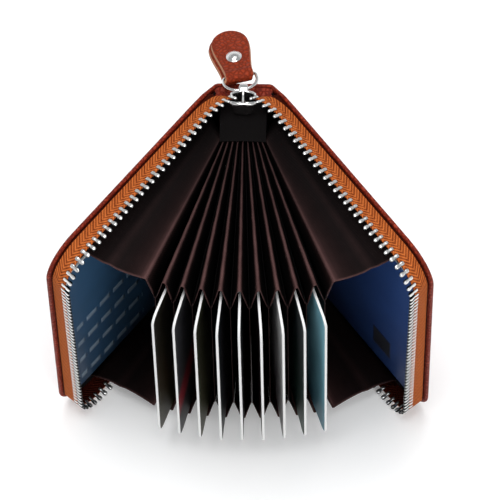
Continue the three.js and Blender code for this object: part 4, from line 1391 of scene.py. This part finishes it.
class CARDHOLDER_OT_accordion(bpy.types.Operator):
    """Folded satin gussets and the dividers between the pockets"""
    bl_idname = "card_holder.accordion"
    bl_label = "Accordion"

    def execute(self, context):
        for number in range(1, POCKETS + 1):
            place = number - 1 - MIDDLE
            outer = abs(place) == MIDDLE
            side = math.copysign(1.0, place)
            grid, painted_light = outer_gusset_grid(side) if outer else gusset_grid(place)
            # The ridge attribute carries the painted highlight on ridges and hems.
            fold = new_piece(f"pleat_{number}", grid, [skin(*grid.shape[:2])], [satin()],
                             attributes={"ridge": painted_light}, sharp=180.0)
            add_modifier(fold, "SOLIDIFY", thickness=sizes().cloth, offset=-1.0)
            if outer:
                body = "left_cover" if side < 0 else "right_cover"
                anchor = row(cover_point(side, FOLD_HELD_U, FOLD_HELD_IN, HEIGHT / 2))
            else:
                body = "spine" if place == 0 else f"pocket_{number}"
                anchor = row(leaf_point(place, 0.0, 0.0, HEIGHT / 2))
            settle(fold, body, "accordion_satin", f"gusset_{number}")
            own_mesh(fold)
        for number in range(1, POCKETS):
            place = number - 0.5 - MIDDLE
            walls, painted_light = divider_grid(place)
            highlight_share = np.concatenate([painted_light, painted_light[:, ::-1]], 1)
            leaf = new_piece(f"leaf_{number}", *shell(*walls), [satin()], attributes={"ridge": highlight_share})
            settle(leaf, f"divider_{number}", "accordion_satin", f"divider_{number}")
        return {"FINISHED"}


# Cards


def card_outline():
    """Card outline as (width, height) from its lower back corner, with round corners."""
    ring = rounded_box_ring(CARD_WIDTH / 2, CARD_HEIGHT / 2, CARD_CORNER, steps=8)
    return ring + (CARD_WIDTH / 2, CARD_HEIGHT / 2)


def card_rings():
    """Rings through the card's thickness: the outline, drawn in a little at both faces for an eased edge."""
    outline = card_outline()
    centre = np.array([CARD_WIDTH / 2, CARD_HEIGHT / 2])
    half = CARD_THICKNESS / 2
    depth = np.array([-half, -half + 0.03, -half + 0.12, half - 0.12, half - 0.03, half])
    draw = np.array([0.12, 0.04, 0.0, 0.0, 0.04, 0.12])
    scale = 1 - draw[:, None, None] / centre
    flat = (outline - centre) * scale + centre
    return flat, np.broadcast_to(depth[:, None], flat.shape[:2])


def card_piece(name, place_points, materials):
    """A card from a function that sets (width, height, depth) in place; its faces carry UVs from 0 to 1."""
    flat, depth = card_rings()
    points = place_points(flat[..., 0], flat[..., 1], depth)
    faces = loft(points)
    unit = flat.reshape(-1, 2) / (CARD_WIDTH, CARD_HEIGHT)
    corners = np.concatenate([np.asarray(group).ravel() for group in faces])
    sides = len(faces[0])
    face_material = np.concatenate([np.zeros(sides), [1, 2]])
    return new_piece(name, points, faces, materials, uv=unit[corners], face_material=face_material)


LEFT_CARD_DASHES = (0.42, 0.96, 0.03, 0.58)
RIGHT_CARD_CHIP = (0.66, 0.82, 0.1, 0.25)
# Colours at both ends of each card's sweep, and a streak's place, half width and colour.
CARD_PRINTS = (
    ((0.05, 0.04, 0.012), (0.012, 0.01, 0.006), None),
    ((0.012, 0.012, 0.014), (0.03, 0.03, 0.034), (0.62, 0.12, (0.2, 0.012, 0.02))),
    ((0.075, 0.07, 0.03), (0.02, 0.02, 0.01), None),
    ((0.02, 0.022, 0.024), (0.008, 0.008, 0.01), None),
    ((0.012, 0.012, 0.016), (0.03, 0.03, 0.036), None),
    ((0.05, 0.012, 0.008), (0.012, 0.008, 0.008), None),
    ((0.035, 0.012, 0.016), (0.5, 0.5, 0.5), None),
    ((0.004, 0.045, 0.024), (0.006, 0.012, 0.014), None),
    ((0.012, 0.1, 0.17), (0.25, 0.55, 0.66), None),
)


class CARDHOLDER_OT_cards(bpy.types.Operator):
    """Nine blank cards in the accordion and one against each cover"""
    bl_idname = "card_holder.cards"
    bl_label = "Cards"

    def execute(self, context):
        edge = finish_of("card_edge", card_edge_material)
        for number, (low, high, band) in enumerate(CARD_PRINTS, 1):
            place = number - MIDDLE
            start = FAN_CARD_FROM - fan_bow(place)

            def in_pocket(width, height, depth):
                return leaf_point(place, depth, start + width, FAN_CARD_BOTTOM + height)

            print_face = card_face_material(f"card_print_{number}", low, high, band=band)
            card = card_piece(f"pocket_card_{number}", in_pocket, [edge, print_face, print_face])
            settle(card, f"card_{number}", "card_plastic", f"card_{number}")
        pale = colours().left_card
        left = card_face_material("left_card_print", toned(pale, 0.35), pale, bumps=LEFT_CARD_DASHES)
        pale = colours().right_card
        right = card_face_material("right_card_print", toned(pale, 0.35), pale, chip=RIGHT_CARD_CHIP)
        for (name, side), print_face in zip(SIDES.items(), (left, right)):

            def on_cover(width, height, depth):
                inward = COVER_CARD_INWARD + CARD_THICKNESS / 2 + depth
                return cover_point(side, COVER_CARD_FROM + width, inward, COVER_CARD_BOTTOM + height)

            card = card_piece(f"{name}_slip_card", on_cover, [edge, print_face, print_face])
            settle(card, f"{name}_cover_card", "cover_card_plastic", f"{name}_cover_card")
        return {"FINISHED"}


# Stage


CAMERA_TARGET = (0.0, -35.0, 55.0)
CAMERA_DISTANCE = 1682.0
CAMERA_ELEVATION = math.radians(66.47)
CAMERA_YAW = math.radians(-2.59)
CAMERA_ROLL = math.radians(-1.53)
CAMERA_RIGHT = 2.0
CAMERA_UP = 6.45
CAMERA_LENS = 407.9
CAMERA_SENSOR = 36.0
CAMERA_REACH = 20.0
FLOOR_HALF = 3200.0
FLOOR_FLAT = 1900.0
FLOOR_SWELL = 0.0006
FLOOR_DROP = 0.05
FLOOR_GLOW = 0.15
WORLD_COLOUR = (0.96, 0.98, 1.0, 1.0)
WORLD_STRENGTH = 0.36
# Name, place in metres, power in watts and side in metres of each light.
LIGHTS = (
    ("overhead_softbox", (-0.2, 0.0, 2.5), 37.0, 1.2),
    ("back_panel", (0.1, 1.1, 2.4), 8.0, 1.1),
    ("front_softbox", (0.9, -1.5, 1.5), 12.0, 0.7),
)


def floor_grid():
    """Wide floor that swells up at its far rim, so that it is its own backdrop: height grows by the square of
    the distance past the flat part."""
    reach = np.linspace(-1.0, 1.0, 61) * FLOOR_HALF
    x, y = np.meshgrid(reach, reach, indexing="ij")
    far = np.maximum(np.hypot(x, y) - FLOOR_FLAT, 0.0)
    return np.stack([x, y, FLOOR_SWELL * far ** 2 - FLOOR_DROP], -1)


def floor_material():
    """Pale matt floor with a faint grain."""
    found, tree, shader = blank_material("studio_floor", roughness=0.9, specular_ior_level=0.1)
    grain = noise(tree, object_coordinates(tree), 0.004)
    pale = colours().floor
    tree.links.new(mix_colour(tree, grain, pale, toned(pale, 0.985)), shader.inputs["Base Color"])
    seen = node(tree, "ShaderNodeLightPath").outputs["Is Camera Ray"]
    shader.inputs["Emission Color"].default_value = (1.0, 1.0, 1.0, 1.0)
    tree.links.new(times(tree, seen, FLOOR_GLOW), shader.inputs["Emission Strength"])
    return found


def soft_light(name, place, power, size):
    """Square area light aimed at the middle of the holder."""
    light = bpy.data.lights.new(name, "AREA")
    light.energy = power
    light.size = size
    lamp = bpy.data.objects.new(name, light)
    bpy.context.scene.collection.objects.link(lamp)
    lamp.location = Vector(place)
    aim = Vector((0.0, 0.0, HEIGHT * MM / 2)) - lamp.location
    lamp.rotation_euler = aim.to_track_quat("-Z", "Y").to_euler()


def photo_camera(scene):
    """Camera at the photograph's angle: it looks along its yaw and elevation, rolled, from a distance, and is
    moved a little right and up in its own plane."""
    elevation, yaw, roll = CAMERA_ELEVATION, CAMERA_YAW, CAMERA_ROLL
    level = math.cos(elevation)
    forward = Vector((math.sin(yaw) * level, math.cos(yaw) * level, -math.sin(elevation)))
    right = Vector((math.cos(yaw), -math.sin(yaw), 0.0))
    up = right.cross(forward)
    rolled = Matrix.Rotation(-roll, 3, forward)
    right = rolled @ right
    up = rolled @ up
    target = Vector(CAMERA_TARGET) + right * CAMERA_RIGHT + up * CAMERA_UP
    place = Vector(row(target - forward * CAMERA_DISTANCE))
    lens = bpy.data.cameras.new("photo_camera")
    lens.lens = CAMERA_LENS
    lens.sensor_width = CAMERA_SENSOR
    lens.clip_end = CAMERA_REACH
    camera = bpy.data.objects.new("photo_camera", lens)
    scene.collection.objects.link(camera)
    turn = Matrix((right, up, -forward)).transposed().to_4x4()
    camera.matrix_world = Matrix.Translation(place) @ turn
    scene.camera = camera


class CARDHOLDER_OT_stage(bpy.types.Operator):
    """Floor, world, soft lights and the camera at the photograph's angle"""
    bl_idname = "card_holder.stage"
    bl_label = "Stage"

    def execute(self, context):
        scene = context.scene
        scene.view_settings.view_transform = "Standard"
        grid = floor_grid()
        floor = new_piece("studio_floor", grid, [skin(*grid.shape[:2])], [floor_material()])
        if floor.data.polygons[0].normal.z < 0:
            floor.data.flip_normals()

        world = bpy.data.worlds.new("studio_world")
        world.use_nodes = True
        background = world.node_tree.nodes["Background"]
        background.inputs["Color"].default_value = WORLD_COLOUR
        background.inputs["Strength"].default_value = WORLD_STRENGTH
        scene.world = world
        for light in LIGHTS:
            soft_light(*light)

        photo_camera(scene)
        return {"FINISHED"}


class CARDHOLDER_PT_panel(bpy.types.Panel):
    bl_idname = "CARDHOLDER_PT_panel"
    bl_label = "Card holder"
    bl_space_type = "VIEW_3D"
    bl_region_type = "UI"
    bl_category = "Card holder"

    def draw(self, context):
        layout = self.layout
        for group in (context.scene.card_holder_sizes, context.scene.card_holder_colours):
            box = layout.box()
            for key in group.__annotations__:
                box.prop(group, key)
        for operator in OPERATORS:
            layout.operator(operator.bl_idname)


OPERATORS = (
    CARDHOLDER_OT_stage,
    CARDHOLDER_OT_covers,
    CARDHOLDER_OT_spine,
    CARDHOLDER_OT_zip,
    CARDHOLDER_OT_slider,
    CARDHOLDER_OT_tab,
    CARDHOLDER_OT_accordion,
    CARDHOLDER_OT_cards,
)
CLASSES = (CardHolderSizes, CardHolderColours, *OPERATORS, CARDHOLDER_PT_panel)


def register():
    for found in CLASSES:
        bpy.utils.register_class(found)
    bpy.types.Scene.card_holder_sizes = PointerProperty(type=CardHolderSizes)
    bpy.types.Scene.card_holder_colours = PointerProperty(type=CardHolderColours)


def unregister():
    del bpy.types.Scene.card_holder_colours
    del bpy.types.Scene.card_holder_sizes
    for found in reversed(CLASSES):
        bpy.utils.unregister_class(found)


def main():
    register()
    bpy.ops.card_holder.stage()
    bpy.ops.card_holder.covers()
    bpy.ops.card_holder.spine()
    bpy.ops.card_holder.zip()
    bpy.ops.card_holder.slider()
    bpy.ops.card_holder.tab()
    bpy.ops.card_holder.accordion()
    bpy.ops.card_holder.cards()


if __name__ == "__main__":
    main()
